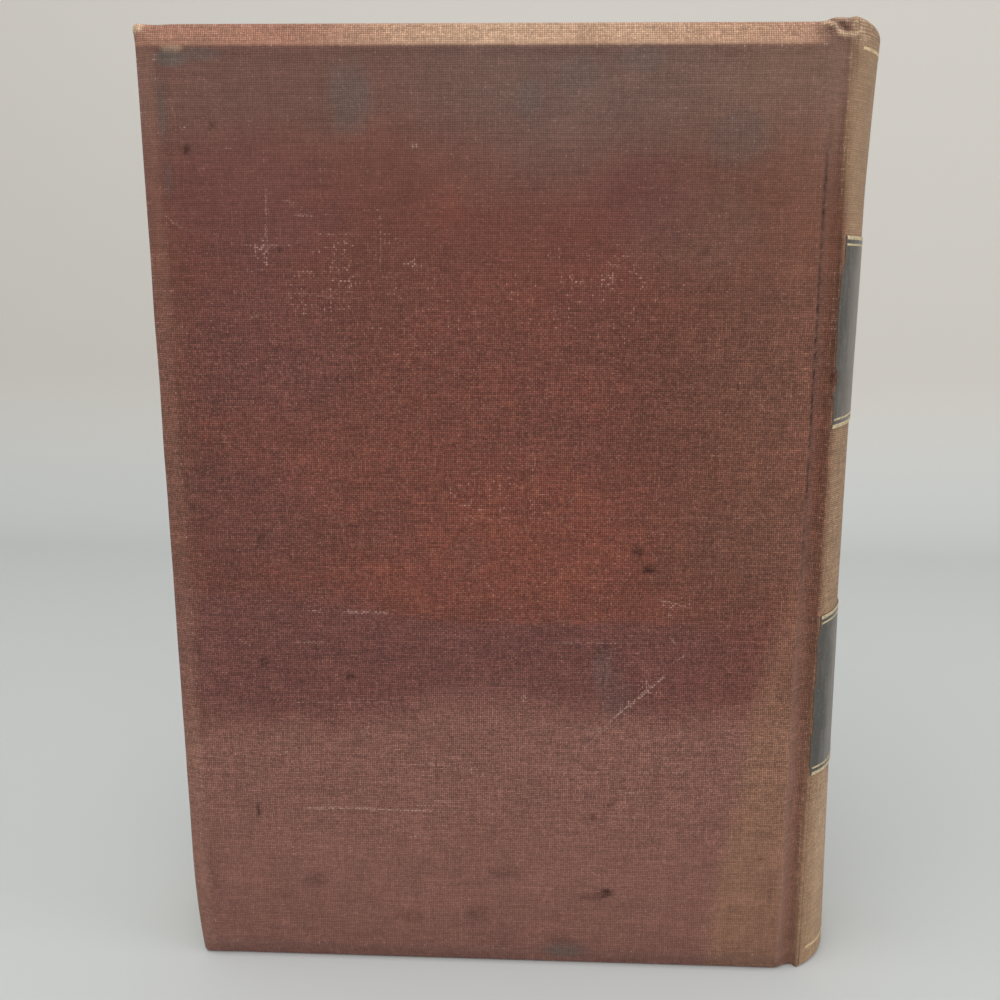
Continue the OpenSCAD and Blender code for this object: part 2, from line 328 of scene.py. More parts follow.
def clothMaterial(name, look):
    material, tree = newMaterial(name)
    place = attribute(tree, "clothPlace", "Vector")      # u across the book, v up it, w the side, all in mm
    u, v, w = (axis(place, number) for number in range(3))
    # the layers hold stains and wear, and also painted shade and the head bevel's painted highlight
    wear = lambda key: attribute(tree, key)
    bent = speckle(stretch(place, 0.05, 0.05, 0.05), 1.0, 2.0)
    kink = speckle(place, 0.9, 1.0)
    uw = kink * 0.34 + bent * 1.2 + u
    vw = kink * 0.3 + bent * 1.0 + v
    turn = math.pi / look["pitch"]
    su = calc("SINE", uw * turn)
    sv = calc("SINE", vw * turn)
    over = put(tree, "ShaderNodeMapRange", {0: su * sv, 1: -0.5, 2: 0.5})
    warp = su * su * over
    weft = sv * sv * (1.0 - over)
    thread = calc("MAXIMUM", warp, weft)            # height of the top thread, 0 in the gaps
    column, row = (calc("FLOOR", value / look["pitch"]) for value in (uw, vw))
    luck = lambda x, y, z: put(tree, "ShaderNodeTexWhiteNoise", {"Vector": vector(tree, x, y, z)}, "Value",
                               noise_dimensions="3D")
    run = lambda value: calc("FLOOR", value / look["run"])
    chance = luck(column, row, w)
    weftStreak = speckle(stretch(place, 0.035, 1.9, 1.0), 1.0, 3.0, 0.6)
    warpStreak = speckle(stretch(place, 1.9, 0.03, 1.0), 1.0, 3.0, 0.6)
    cloud = speckle(stretch(place, 0.03, 0.04, 1.0), 1.0, 4.0, 0.55)
    blotch = speckle(stretch(place, 0.09, 0.13, 1.0), 1.0, 5.0, 0.6)
    fine = speckle(stretch(place, 0.5, 0.5, 1.0), 1.0, 4.0, 0.65)

    colour = tint(ease(cloud, 0.36, 0.7, 0.2, 0.6), look["face"], look["redder"])
    for key, shownAs in wearTones.items():
        colour = tint(wear(key), colour, look[shownAs])
    light = weftStreak * 0.54 + 0.73
    light = light * (warpStreak * 0.34 + 0.83) * (blotch * 0.44 + 0.78)
    # the weave shows most across the middle of a cover
    strong = ease(v, 20.0, 62.0, 0.72, 1.2) * ease(v, 160.0, 205.0, 1.0, 0.45)
    strong = calc("MAXIMUM", strong, ease(v, 234.0, 238.0))
    # the third number sets one draw apart from another
    weftRun, warpRun = luck(run(column), row, 600.0), luck(column, run(row), 700.0)
    for value, share in ((chance, 0.4), (thread, 0.9), (weftRun, 0.22), (warpRun, 0.16)):
        light = light * ((value - 0.5) * strong * share + 1.0)
    colour = shaded(colour, light)
    # dirt, and painted shade where the layers put it: foot bevel, joint crease and groove, the fold's hollow,
    # towards the foot; it also takes sheen and gloss away
    soilAndShade = wear("dirtAndShade") * ease(fine, 0.3, 0.6, 0.35)
    colour = tint(soilAndShade, colour, look["dirtAndShade"])
    fleck = ease(fine, 0.66, 0.74) * 0.35
    colour = tint(fleck, colour, look["dirtAndShade"])
    pale = luck(column, row, 500.0) ** 8.0 * thread * 0.45
    colour = tint(pale * strong, colour, look["thread"])      # a few threads paler than the rest
    # worn to the core: runs of crossings along one thread, and lines rubbed across the cloth
    bare = 0.0
    for top, along in ((weft, weftRun), (warp, warpRun)):
        worn = along * 0.6 + chance * 0.4 + wear("rub")
        bare = calc("MAXIMUM", bare, ease(worn, 0.88, 1.16, 0.0, 0.62) * ease(top, 0.2, 0.7))
    off = abs((kink - 0.5) * 0.35 + wear("lineOff"))
    line = wear("lineOn") * ease(off, 0.1, wear("lineOn") * 0.3 + 0.32, 1.0, 0.0)
    line = line * ease(weft, 0.15, 0.6, 0.2, 1.0) * ease(chance, 0.1, 0.75, 0.15, 1.0)
    colour = tint(calc("MAXIMUM", bare, line), colour, look["worn"])
    rough = blotch * 0.15 + 0.78
    height = fine * 0.25 + thread
    finishMaterial(tree, colour, rough, height, bump=0.55, distance=0.00012, sheen=soilAndShade * -0.1 + 0.1,
                   specular=soilAndShade * -0.25 + 0.25)
    return material


clothSkin = clothMaterial("bookCloth", clothLook)
# back cover, spine, front cover: each has its own random threads
clothPart = {-1: 0.0, 0: 150.0, 1: 300.0}
print("cloth material made")

# edge profile of a cover: how far in from the edge, and how far below the face
edgeShape = [(0.0, 4.35), (0.0, 3.7), (0.0, 3.0), (0.02, 2.45), (0.12, 2.1), (0.38, 1.8), (0.85, 1.53),
             (1.6, 1.26), (2.4, 0.99), (3.2, 0.72), (4.0, 0.45), (4.55, 0.26), (5.0, 0.12), (5.45, 0.04),
             (6.1, 0.0)]
ringShape = [(0.0, 4.35), (0.14, 4.64), (0.5, 4.8), (1.6, 4.8), (3.4, 4.8), (5.6, 4.8), (8.2, 4.8),
             (11.4, 4.8), (15.0, 4.8)]
# the joint, from the board's inner edge over the ridge: (from the board, below the face, depth of two cloths)
jointShape = [(-1.3, 0.0, 4.8), (-0.7, 0.05, 4.8), (-0.25, 0.26, 4.8), (0.1, 0.62, 4.75), (0.42, 1.08, 4.7),
              (0.78, 1.55, 4.6), (1.25, 2.1, 4.45), (1.8, 2.6, 4.4), (2.4, 3.0, 4.4), (3.1, 3.3, 4.45),
              (3.7, 3.5, 4.5), (4.15, 3.52, 4.5), (4.5, 3.35, 4.4), (4.8, 3.0, 4.1), (5.02, 2.64, 3.75),
              (5.2, 2.4, 3.5), (5.4, 2.25, 3.3), (5.6, 2.26, 3.25)]

coverMarks = {
    # key: (u, v, half width, half height, strength), millimetres from the fore-edge and the tail
    "stain": [(50, 225, 6, 9, 0.45), (92, 224.6, 4, 5, 0.3), (103, 229, 6, 6, 0.25),
              (117.5, 233, 6, 3, 0.3), (140, 216, 8, 7, 0.35), (111, 86, 3, 7, 0.28), (114, 79, 5, 7, 0.2),
              (102, 5, 6, 3, 0.6), (9, 233.2, 4.5, 2.2, 0.8), (16, 234, 6, 1.6, 0.5),
              (6.2, 222, 1.1, 8, 0.55), (6.6, 206, 0.9, 5, 0.35), (77, 116, 5, 5, 0.12)],
    "grey": [(130, 196, 18, 14, 0.35)],
    "red": [(94, 120, 36, 24, 0.9), (60, 138, 30, 22, 0.3), (70, 108, 34, 10, 0.7), (112, 104, 20, 9, 0.5)],
    "purple": [(24, 200, 26, 18, 0.6), (26, 168, 26, 24, 0.5), (120, 202, 18, 12, 0.4),
               (20, 128, 22, 20, 0.4), (30, 100, 26, 9, 0.5)],
    "pink": [(66, 60, 30, 12, 0.6)],
    "fade": [(4, 120, 5, 120, 0.12)],
    "cream": [(0.6, 240.4, 2.2, 1.8, 1.0), (9.5, 235.2, 2.8, 0.9, 0.5)],
    "dirtAndShade": [(119.1, 117.5, 1.6, 1.6, 1.0), (122, 112.9, 2.4, 0.9, 1.0), (113.1, 22.7, 1.9, 1.5, 1.0),
             (109, 21.4, 4.5, 1.3, 0.4), (113.7, 48.8, 1.3, 0.9, 0.8), (109, 44.9, 1, 0.8, 0.8),
             (153.7, 33.7, 1, 1, 0.8), (156.8, 24.9, 1.2, 6, 0.35), (23.3, 86.2, 0.9, 1.8, 1.0),
             (45.7, 82.8, 1.2, 1.2, 1.0), (19.8, 44.5, 0.9, 2, 1.0), (24.3, 119.6, 1, 1, 0.8),
             (11.4, 213.2, 1.2, 1.2, 0.9), (18.1, 218.5, 1, 1.2, 0.6), (32.5, 190.3, 1, 0.9, 0.7),
             (123, 195.4, 1.1, 1, 0.5), (133.4, 190.9, 1, 1.4, 0.5), (107.9, 192.4, 1, 1, 0.4),
             (136.8, 193.2, 1, 1, 0.4), (34.2, 24.2, 4, 2.6, 0.3), (86, 28, 5, 2, 0.35),
             (60, 14, 5, 2.4, 0.35), (101, 8, 5, 2.2, 0.4), (78.2, 15.6, 4, 3, 0.4), (26, 108, 3, 2, 0.2),
             (111, 92, 2.4, 2, 0.4)],
    "rub": [(38.3, 100.5, 2.6, 0.7, 0.25), (50, 100.5, 5.4, 0.7, 0.25), (50, 190, 11, 2.6, 0.22),
            (47, 185, 4, 7, 0.18), (57, 192, 3, 8, 0.18), (28, 189.5, 2.2, 3.4, 0.4),
            (64.5, 187.2, 2.6, 1.6, 0.4), (102, 183, 2.6, 1.6, 0.35), (111, 183.5, 3, 2.4, 0.3),
            (115, 186, 7, 3, 0.16), (106, 180, 24, 12, 0.09), (42, 180, 12, 8, 0.12),
            (60, 172, 24, 12, 0.06), (86, 131, 18, 8, 0.12), (96, 110, 30, 12, 0.06),
            (128.5, 104, 5, 2.2, 0.3), (127.5, 102.6, 2, 2.4, 0.3), (71, 57.8, 13, 3.2, 0.2),
            (47, 76, 9, 1.4, 0.15), (123, 81.5, 3.6, 2.6, 0.3), (65, 213.9, 0.9, 0.9, 0.7),
            (11, 218.1, 0.9, 0.8, 0.7), (91.2, 78, 1.6, 1.2, 0.4), (116.2, 75, 1.6, 1.2, 0.45),
            (118, 76.7, 1.5, 1.1, 0.5), (119.6, 78.2, 1.3, 0.9, 0.45), (108, 58, 16, 2, 0.1),
            (45, 45.5, 14, 1.4, 0.12), (69, 48.5, 5, 1.6, 0.15), (118, 50, 5, 4, 0.12),
            (60, 90, 30, 3, 0.06)],
}
lineReach = 3.0     # how far to its sides a worn line is known, mm
# pale lines rubbed into the cloth: from (u, v) to (u, v), strength
wornLines = [
    (29.8, 204, 29.2, 191.9, 0.4), (29.5, 191.9, 28.6, 188.6, 0.6), (24.4, 191.4, 34.7, 191.4, 0.35),
    (25.7, 185.4, 27.9, 185.6, 0.5), (34.2, 201.5, 36.4, 201.3, 0.4), (36.5, 198.3, 41.2, 198.2, 0.4),
    (41.1, 194, 49.9, 194, 0.3), (46.7, 190.3, 46.3, 178.7, 0.25), (56.9, 198.4, 56.6, 186.9, 0.2),
    (63.3, 187.9, 65.9, 186.5, 0.5), (37.6, 185.2, 40, 185.2, 0.4), (35.7, 180.3, 48.2, 178.7, 0.25),
    (5.7, 197.8, 9.2, 195, 0.45), (9.2, 195, 13.5, 194.4, 0.35), (36.2, 100.5, 40.4, 100.6, 0.7),
    (45, 100.4, 55.8, 100.4, 0.8), (16.6, 92.9, 19.9, 91, 0.35), (31.7, 92.1, 39.5, 92.2, 0.4),
    (31, 75.6, 55.2, 76.1, 0.3), (50.3, 70.4, 49.6, 65.9, 0.4), (26.6, 60.6, 28.5, 61.7, 0.5),
    (53.2, 60.6, 54.8, 62.7, 0.5), (57.4, 58.8, 84.6, 58.3, 0.25), (32.1, 45.4, 44.5, 45.8, 0.85),
    (44.5, 45.8, 66.2, 45.5, 0.7), (67.3, 45.5, 81.9, 45.3, 0.25), (60.4, 38, 64.5, 38.1, 0.5),
    (50.6, 53.4, 55.4, 53.6, 0.35), (64.6, 48.6, 71.8, 48.2, 0.4), (110.3, 187.9, 118.1, 184.9, 0.3),
    (74.8, 125.5, 154.7, 126.7, 0.16), (101.5, 129.7, 103.4, 131, 0.5), (125.2, 105.1, 132, 103.4, 0.5),
    (128.2, 95.3, 129.3, 93.8, 0.5), (98.3, 93.1, 122.2, 93.6, 0.3), (106.9, 64.8, 114.5, 73.3, 0.45),
    (114.5, 73.3, 120.8, 79, 0.95), (120.8, 79, 126.3, 84.3, 1.0), (129.5, 88.7, 131.4, 90.1, 0.8),
    (101.1, 70, 115.1, 70, 0.35), (95.2, 57.4, 143.9, 58.4, 0.25), (126.4, 62.5, 132.5, 60.4, 0.3),
    (117, 52, 120.7, 52.1, 0.45), (78.6, 58.4, 83.8, 58.6, 0.4), (24.9, 174.3, 26.4, 174.8, 0.4),
    (116.4, 45.1, 120.9, 45.2, 0.3), (130.9, 68.7, 132.4, 70.7, 0.4), (18, 150, 17.6, 132, 0.15),
    (150.5, 200, 151, 188, 0.15)]


def noLines(u):
    return {"lineOff": np.full_like(u, lineReach), "lineOn": np.zeros_like(u)}


def lineLayers(u, v):
    # signed distance to the nearest worn line, and its strength
    off, on = noLines(u).values()
    best = np.full_like(u, 99.0)
    for a, b, c, d, strength in wornLines:
        long = math.hypot(c - a, d - b)
        along = ((u - a) * (c - a) + (v - b) * (d - b)) / long
        across = ((v - b) * (c - a) - (u - a) * (d - b)) / long
        beyond = np.maximum(-along, along - long)
        far = np.maximum(np.abs(across), beyond)
        near = far < best
        best = np.minimum(best, far)
        off = np.where(near, np.clip(across, -lineReach, lineReach), off)
        on = np.where(near, strength * fall(beyond, -0.3, 0.9) * fall(np.abs(across), 1.6, 2.6), on)
    return {"lineOff": off, "lineOn": on}


# where the cloth beside the joint turns tan: (height, from the fore-edge, share)
tanLine = ((0, 12, 27, 62, 84, 106, 136, 200), (139, 140, 141.5, 147, 150.4, 153.9, 155.5, 157),
           (1, 1, 1, 0.95, 0.75, 0.5, 0.3, 0.1))
# a line across the cover, redder above it and purple below: (from the fore-edge, height)
redLine = ((0, 33, 75, 148), (105, 103.4, 98, 99.4))


def coverLayers(u, v, side):
    # worn places as smooth values on the cloth's points
    layers = {}
    for key, spots in coverMarks.items():
        total = np.zeros_like(u)
        for cu, cv, ru, rv, strength in spots:
            if side > 0:                 # the front cover has its own, other places
                cu, cv = 160 - cu * 0.9, 236 - cv * 0.93
            wob = 0.25 * ripple(u * 0.25, v * 0.25, cu) if ru > 3 else 0
            d = np.sqrt(((u - cu) / ru) ** 2 + ((v - cv) / rv) ** 2) + wob
            total = np.maximum(total, strength * fall(d, 0.45, 1.25))
        layers[key] = total
    # the head has gone grey and the foot pale, and near the foot the cloth beside the joint is tan
    drift = v + 7 * ripple(u * 0.025, v * 0.03, 8.8) + 2 * ripple(u * 0.11, v * 0.1, 3.9)
    mark(layers, "grey", 0.9 * softStep(drift, 196, 226) * (0.62 + 0.38 * softStep(u, 50, 90)))
    mark(layers, "pink", 0.9 * fall(drift - 6 * bump(u, 100, 45), 63, 78))
    below = fall(v - np.interp(u, *redLine) - 1.2 * ripple(u * 0.05, v * 0.3, 6.6), -1.2, 0.8)
    mark(layers, "purple", 0.75 * below * softStep(drift, 56, 80) * (1 - 0.6 * softStep(u, 120, 150)))
    layers["red"] = layers["red"] * (1 - below)
    level = np.interp(v, tanLine[0], tanLine[2])
    pastTan = u - np.interp(v, *tanLine[:2]) - 2 * ripple(u * 0.02, v * 0.05, 2.9)
    mark(layers, "fade", 0.72 * level * softStep(pastTan, -2.5, 4.5),
         0.3 * softStep(u, 110, 158) * softStep(v, 90, 120))
    beside = 0.2 * softStep(u, 105, 128) * (1 - 0.5 * softStep(u, 148, 157)) * fall(v, 205, 228)
    fore = 0.12 * fall(u, 8, 30) * fall(v, 200, 225)
    # darker towards the foot: painted shade; darker also beside the joint and near the fore-edge
    mark(layers, "dirtAndShade", 0.15 * fall(drift, 8, 26), (beside + fore) * softStep(v, 96, 114))
    layers.update(lineLayers(u, v) if side < 0 else noLines(u))
    return layers


# how pale the head bevel is along the board, partly faded cloth and partly painted highlight from the light
# above: (from the fore-edge, share)
headTone = ((38, 60, 84, 108, 130, 150, 158), (0.0, 0.4, 0.64, 0.54, 0.46, 0.3, 0.25))
spineToneFrom = 4.7     # past the board, where the tan of the spine begins, mm


def spineShare(past, v):
    # how far the red-brown of the covers has given way to the tan of the spine, in mm past the ridge
    low = fall(v, 30, 80)
    slow = 0.18 + 0.3 * low + (0.72 - 0.3 * low) * softStep(past, 0, 4.0)
    quick = 0.72 + 0.14 * softStep(past, 0.5, 3)
    sudden = softStep(v, 196, 212) * (1 - 0.6 * softStep(v, 222, 232))
    return softStep(past, -0.4, 0.1) * (slow + (quick - slow) * sudden)


def edgeLayers(layers, u, v, inEdge, past):
    # bevels, arrises and the joint: tones, worn threads, a painted highlight on the head bevel and painted
    # shade on the foot bevel and in the joint
    height = book["height"]
    headShare = fall(height - v, 4.6, 5.6) * fall(past, -6.0, 0.4)
    tailShare = fall(v, 2.5, 6.0)
    foreShare = fall(u, 3.2, 6.4)
    # the head bevel is paler: partly faded cloth, partly painted highlight from the light above
    paler = np.maximum.reduce([0.95 * headShare, 0.08 * tailShare, 0.22 * foreShare])
    layers["edge"] = paler * (1 + 0.15 * ripple(u * 0.08, v * 0.08, 3.3))
    mark(layers, "cream", headShare * np.interp(u, *headTone) * (1 + 0.2 * ripple(u * 0.2, v * 0.2, 6.1)))
    arris, outer = bump(inEdge, 5.2, 0.5), bump(inEdge, 0.35, 0.45)
    broken = patchy(ripple(u * 0.35, v * 0.35, 7.7), 0.3, 0.9)
    mark(layers, "rub", np.maximum(0.4 * arris, 0.7 * outer) * broken)
    # painted shade on the foot bevel, which faces down, in the crease at the board's inner edge and on the
    # wall of the groove; darker also just inside the bevels
    crease = bump(past, 0.35, 0.6) * softStep(v, 85, 150) * fall(v, 206, 220)
    mark(layers, "dirtAndShade",
         0.3 * tailShare,
         0.35 * bump(inEdge, 6.4, 1.2) * patchy(ripple(u * 0.12, v * 0.12, 5.1), 0.3),
         crease * patchy(ripple(u * 0.1, v * 0.55, 2.2), 0.8, 0.9),
         0.35 * bump(past, 0.9, 0.6) * softStep(v, 60, 150) * fall(v, 212, 228))
    strip = softStep(past, 0.1, 0.7) * fall(past, 4.4, 5.0)
    layers["fade"] = layers["fade"] * (1 - 0.65 * strip) + 0.26 * strip * (1 - 0.5 * bump(v, 150, 30))
    mark(layers, "purple", 0.4 * strip * fall(v, 80, 120))
    layers["pink"] = layers["pink"] * (1 - 0.45 * strip)
    # a torn hollow at the ridge beside the upper label
    torn = bump(past, 5.6, 0.8) * bump(v, 161, 2.3)
    byLabel = softStep(v, 150, 153) * fall(v, 193, 196) + 0.5 * softStep(v, 57, 60) * fall(v, 99, 103)
    # painted shade along the floor of the groove; darker also in the torn hollow and on the ridge beside the
    # labels
    mark(layers, "dirtAndShade", 0.2 * bump(past, 3.9, 0.7), torn, 0.5 * byLabel * bump(past, 5.4, 0.7))
    mark(layers, "red", torn)
    dots = 0.15 + 0.5 * (bump(v, 214, 12) + bump(v, 36, 14)) + 0.3 * (bump(v, 176, 9) + bump(v, 122, 14))
    mark(layers, "rub", bump(past, 4.75, 0.4) * dots * patchy(ripple(u * 0.1, v * 0.35, 9.1), 0.75))
    layers["spineTone"] = spineShare(past - spineToneFrom, v) * (1 - torn)
    return layers


# at the head of the back joint the cloth has folded over: (past the board, below the head) of the lip of
# the fold and of the hollow above it
foldLine = ((-3.0, -1.1, 0.2, 1.2, 2.9, 5.4, 7.4, 9.5), (1.2, 0.4, 1.5, 2.6, 3.1, 2.8, 1.9, 0.8))
slotLine = ((-0.4, 1.5, 3.5, 4.6), (0.4, 1.1, 2.0, 2.3))
headRise = {-1: 1.2, 1: 0.3}      # how far the head edge stands up at each joint, mm


def headFold(past, headIn):
    # lip of the fold, hollow above it, and how far the head edge stands up there
    lipIn = np.interp(past, *foldLine)
    lip = bump(headIn, lipIn, 0.5) * softStep(past, -3.0, -1.0) * fall(past, 6.4, 8.4)
    hollow = bump(headIn, np.interp(past, *slotLine), 0.36) * softStep(past, -0.9, 0.3) * fall(past, 3.2, 4.3)
    rise = softStep(past, -2.5, 2.0) * fall(past, 8, 20) * fall(headIn, 0, 3)
    return lip, hollow, rise


# spine: its shape is needed by the covers too
spineShape = {
    "headFlare": 1.35,     # how much the spine spreads at the head, mm
    "headFlareFrom": 200.0,
    "tailFlare": 1.95,
    "tailFlareFrom": 107.0,
    "capRound": 1.8,       # rounding of the cap at the crown of the spine
    "turnIn": 15.0,
    "innerR": 1.5,         # cloth, card and turned-in cloth together
    "evenFrom": 9.2,       # from head and tail, where the even grid begins
    "columns": 84,
    "rows": 150,
    "clothFrom": 168.5,    # where the weave's count across the book begins on it
}


def spineRadius(a, z, s):
    # radius of the cloth's outer face at an angle and a height, without the cap
    crown = np.cos(a * math.pi / 2 / ridgeAngle)
    crest = ripple(a * 2.2, z * 0.02, 11.0) * 0.08 + ripple(a * 7, z * 0.09, 12.0) * 0.05
    toHead = np.clip(z - s["headFlareFrom"], 0, None) / (book["height"] - s["headFlareFrom"])
    toTail = np.clip(s["tailFlareFrom"] - z, 0, None) / s["tailFlareFrom"]
    flare = s["headFlare"] * toHead ** 1.8 + s["tailFlare"] * toTail ** 1.3
    return spineR + crown * (flare - 0.18 * bump(z, 155, 40)) + crest * np.clip(crown * 3, 0, 1)


coverShape = {
    "cornerRound": 1.4,
    "knockHigh": 30.0,     # the knocked corner, up from the tail
    "knockDeep": 1.8,
    "evenFrom": 7.1,       # in from the edges, where the even grid of the face begins
    "evenTo": 2.2,         # short of the board's inner edge, where it ends
    "overEdge": 2.4,       # cloth taken up by the edge itself
    "columns": 144,
    "rows": 214,
}
# where the cloth turns over at the head and tail of a joint: (from the end, share of the way out)
jointTurn = ((0.02, 0.12, 0.38, 0.6, 0.85, 1.1), (0.49, 0.62, 0.8, 0.9, 0.97, 1.0))
# columns of the cover's cloth under the spine's: (angle from the ridge, depth)
underSpine = ((0.022, 0.0), (0.045, 0.0), (0.07, 0.03), (0.095, 0.12))


def alongFrom(steps, at, value):
    # distance along a row of steps, counted so that one point has a given value
    total = np.concatenate([[0], np.cumsum(steps)])
    return total + (value - total[at])


def coverSurface(side, s):
    # outer face of one cover with its bevels and joint, then the cloth turned in on three sides
    height, thick, evenFrom = book["height"], book["edgeThick"], s["evenFrom"]
    forePart = [(d, drop, thick) for d, drop in edgeShape]
    flat = [(d, 0.0, thick) for d in np.linspace(evenFrom, book["coverWide"] - s["evenTo"], s["columns"])]
    joint = [(book["coverWide"] + d, drop, under) for d, drop, under in jointShape]
    for angle, sunk in underSpine:
        r = spineR - sunk
        drop = coverY - r * math.sin(ridgeAngle - angle)
        joint.append((spineX + r * math.cos(ridgeAngle - angle) - foreX, drop, drop + 1.0))
    xs = np.array(forePart + flat + joint)
    nFore, nBoard = len(forePart), len(forePart) + len(flat)
    insets = [d for d, _ in edgeShape[:6]]
    insets += [0.6, 0.85, 1.1, 1.35, 1.6, 1.85, 2.1, 2.4, 2.65, 2.9, 3.2, 3.45, 3.7, 4.0, 4.3, 4.55, 4.8, 5.0,
               5.2, 5.45, 5.8, 6.1]
    drops = [drop for _, drop in edgeShape[:6]] + list(np.interp(insets[6:], *zip(*edgeShape[5:])))
    middle = list(np.linspace(evenFrom, height - evenFrom, s["rows"]))
    zs = np.array(insets + middle + [height - d for d in reversed(insets)])
    zDrop = np.array(drops + [0.0] * len(middle) + list(reversed(drops)))
    lift = 1 - zDrop / thick
    x = foreX + xs[:, 0]
    outer = coverY - xs[:, 1]
    under = coverY - xs[:, 2]
    full = np.where(np.arange(len(xs)) < nBoard + 2, coverY, outer)
    # cloth coordinate: true distance along the surface, exact on the face
    u = alongFrom(np.hypot(np.diff(xs[:, 0]), np.diff(xs[:, 1])), nFore, evenFrom)
    v = alongFrom(np.hypot(np.diff(zs), np.diff(zDrop)), len(insets), evenFrom)
    X, Z = np.meshgrid(x, zs, indexing="ij")
    U, V = np.meshgrid(u, v, indexing="ij")
    # the joint has no bevel: its cloth only turns over at head and tail
    fromEnd = np.minimum(zs, height - zs)
    turned = np.maximum(lift, np.where(fromEnd > 0.01, np.interp(fromEnd, *jointTurn), 0))
    inJoint = softStep(x - jointX, -0.5, 1.5)[:, None]
    share = lift[None, :] + inJoint * (turned - lift)[None, :]
    Y = under[:, None] + np.minimum((outer - under)[:, None], share * (full - under)[:, None])
    path = [(i, 0) for i in range(len(x) - 1, -1, -1)] + [(0, j) for j in range(1, len(zs))]
    path += [(i, len(zs) - 1) for i in range(1, len(x))]
    ring = []
    for d, drop in ringShape:
        extra = s["overEdge"] + d
        ring.append([(max(x[i], foreX + d),
                      under[i] + (1 - drop / thick) * (full[i] - under[i]),
                      min(max(zs[j], d), height - d),
                      u[i] - (extra if i == 0 else 0),
                      v[j] + (-extra if j == 0 else extra if j == len(zs) - 1 else 0)) for i, j in path])
    grids = []
    for gx, gy, gz, gu, gv, isRing in ((X, Y, Z, U, V, False), (*np.array(ring).transpose(2, 1, 0), True)):
        inFore = gx - foreX
        inEdge = np.minimum.reduce([inFore, gz, height - gz])
        onBoard = fall(gx, jointX - 2, jointX + 1)
        # slow bends and dents of an old cover
        bend = 0.10 * ripple(gx * 0.018, gz * 0.016, 1.7 + side)
        bend = bend + 0.05 * ripple(gx * 0.07, gz * 0.06, 4.2 + side)
        top = np.clip((gy - underY) / thick, 0, 1)
        gy = gy + bend * top * softStep(inEdge, 3, 14) * onBoard
        # soft wear of the arrises
        nick = patchy(ripple(gx * 0.22, gz * 0.22, 6.4 + side), -0.25)
        gy = gy - 0.35 * nick * bump(inEdge, 5.0, 1.2) * top * softStep(gz, 5, 14)
        # rounded corners
        for cornerZ in (0, height):
            dz = np.abs(gz - cornerZ)
            q = np.stack([s["cornerRound"] - inFore, s["cornerRound"] - dz])
            inside = (q > 0).all(0)
            pull = np.maximum(np.max(q, 0), 1e-9) / np.maximum(np.hypot(*q), 1e-9)
            gx = np.where(inside, foreX + s["cornerRound"] - q[0] * pull, gx)
            gz = np.where(inside, np.abs(cornerZ - s["cornerRound"] + q[1] * pull), gz)
        if side < 0:
            # the lower fore-edge corner has been knocked, and its cloth stays clear of the board's bevel
            knock = np.clip((s["knockHigh"] - gz) / s["knockHigh"], 0, 1) ** 2 * s["knockDeep"]
            gx = gx + knock * fall(inFore, 0.5, 14)
            gy = gy + 0.15 * fall(gz, 2, 22) * fall(inFore, 6, 12) * top
        past = gx - jointX
        headIn = height - gz
        if side < 0:
            # the tip of the upper corner is pushed out, and the head edge sinks a little beside it
            nearHead = fall(headIn, 0, 4)
            gz = gz + nearHead * (0.5 * bump(inFore, 0.5, 1.6) - 0.35 * bump(inFore, 5.0, 2.6)) * top
            gx = gx - 0.3 * bump(inFore, 0, 1.5) * bump(headIn, 1.0, 2.0)
        gx = gx + 0.12 * ripple(gz * 0.06, gz * 0 + side, 15.0) * fall(inFore, 0, 6)
        layers = coverLayers(gu, gz, side)
        layers = edgeLayers(layers, gu, gz, inEdge, past)
        lip, hollow, rise = headFold(past, headIn)
        gz = gz + headRise[side] * rise
        if not isRing:
            # near the head the groove of the joint runs out
            chord = coverY - np.interp(past, (0, book["ridgeFromBoard"]), (0.3, 2.25))
            filled = 0.85 * softStep(gz, 203, 228) * (top > 0)
            filled = filled * softStep(past, -0.2, 0.2) * fall(past, 4.9, 5.4)
            gy = gy + filled * np.clip(chord - gy, 0, None) * np.where(headIn > 1.1, 1, headIn / 1.1)
            if side < 0:
                gy = gy + (0.6 * lip - 0.9 * hollow) * fall(past, 4.0, 5.2) * softStep(headIn, 0, 0.35)
                mark(layers, "cream", lip, 0.6 * rise * bump(headIn, 0.3, 0.6),
                     0.3 * softStep(past, 3.5, 5) * fall(headIn, 1.8, 2.8))
                # painted shade in the hollow above the fold's lip, on cloth that is redder there
                mark(layers, "dirtAndShade", 0.42 * hollow)
                mark(layers, "red", hollow)
                layers["spineTone"] = layers["spineTone"] * (1 - hollow)
        if isRing:
            layers = {key: values * 0.35 for key, values in layers.items()}
        points = np.stack([gx, gy * side, gz], -1)
        layers["clothPlace"] = np.stack([gu, gv, np.full_like(gu, clothPart[side])], -1)
        if (side > 0) != isRing:
            points = points[:, ::-1]
            layers = {key: values[:, ::-1] for key, values in layers.items()}
        grids.append((points, layers))
    return grids


for side, name in ((-1, "back"), (1, "front")):
    cloth = meshObject(name + "CoverCloth", coverSurface(side, coverShape), clothSkin)
    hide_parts(name + "_cover_cloth")
    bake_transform(cloth, name + "_cover", "book_block", start=(jointX * mm, 0, 0), end=(ridgeX * mm, 0, 0))
print("cover cloths made")


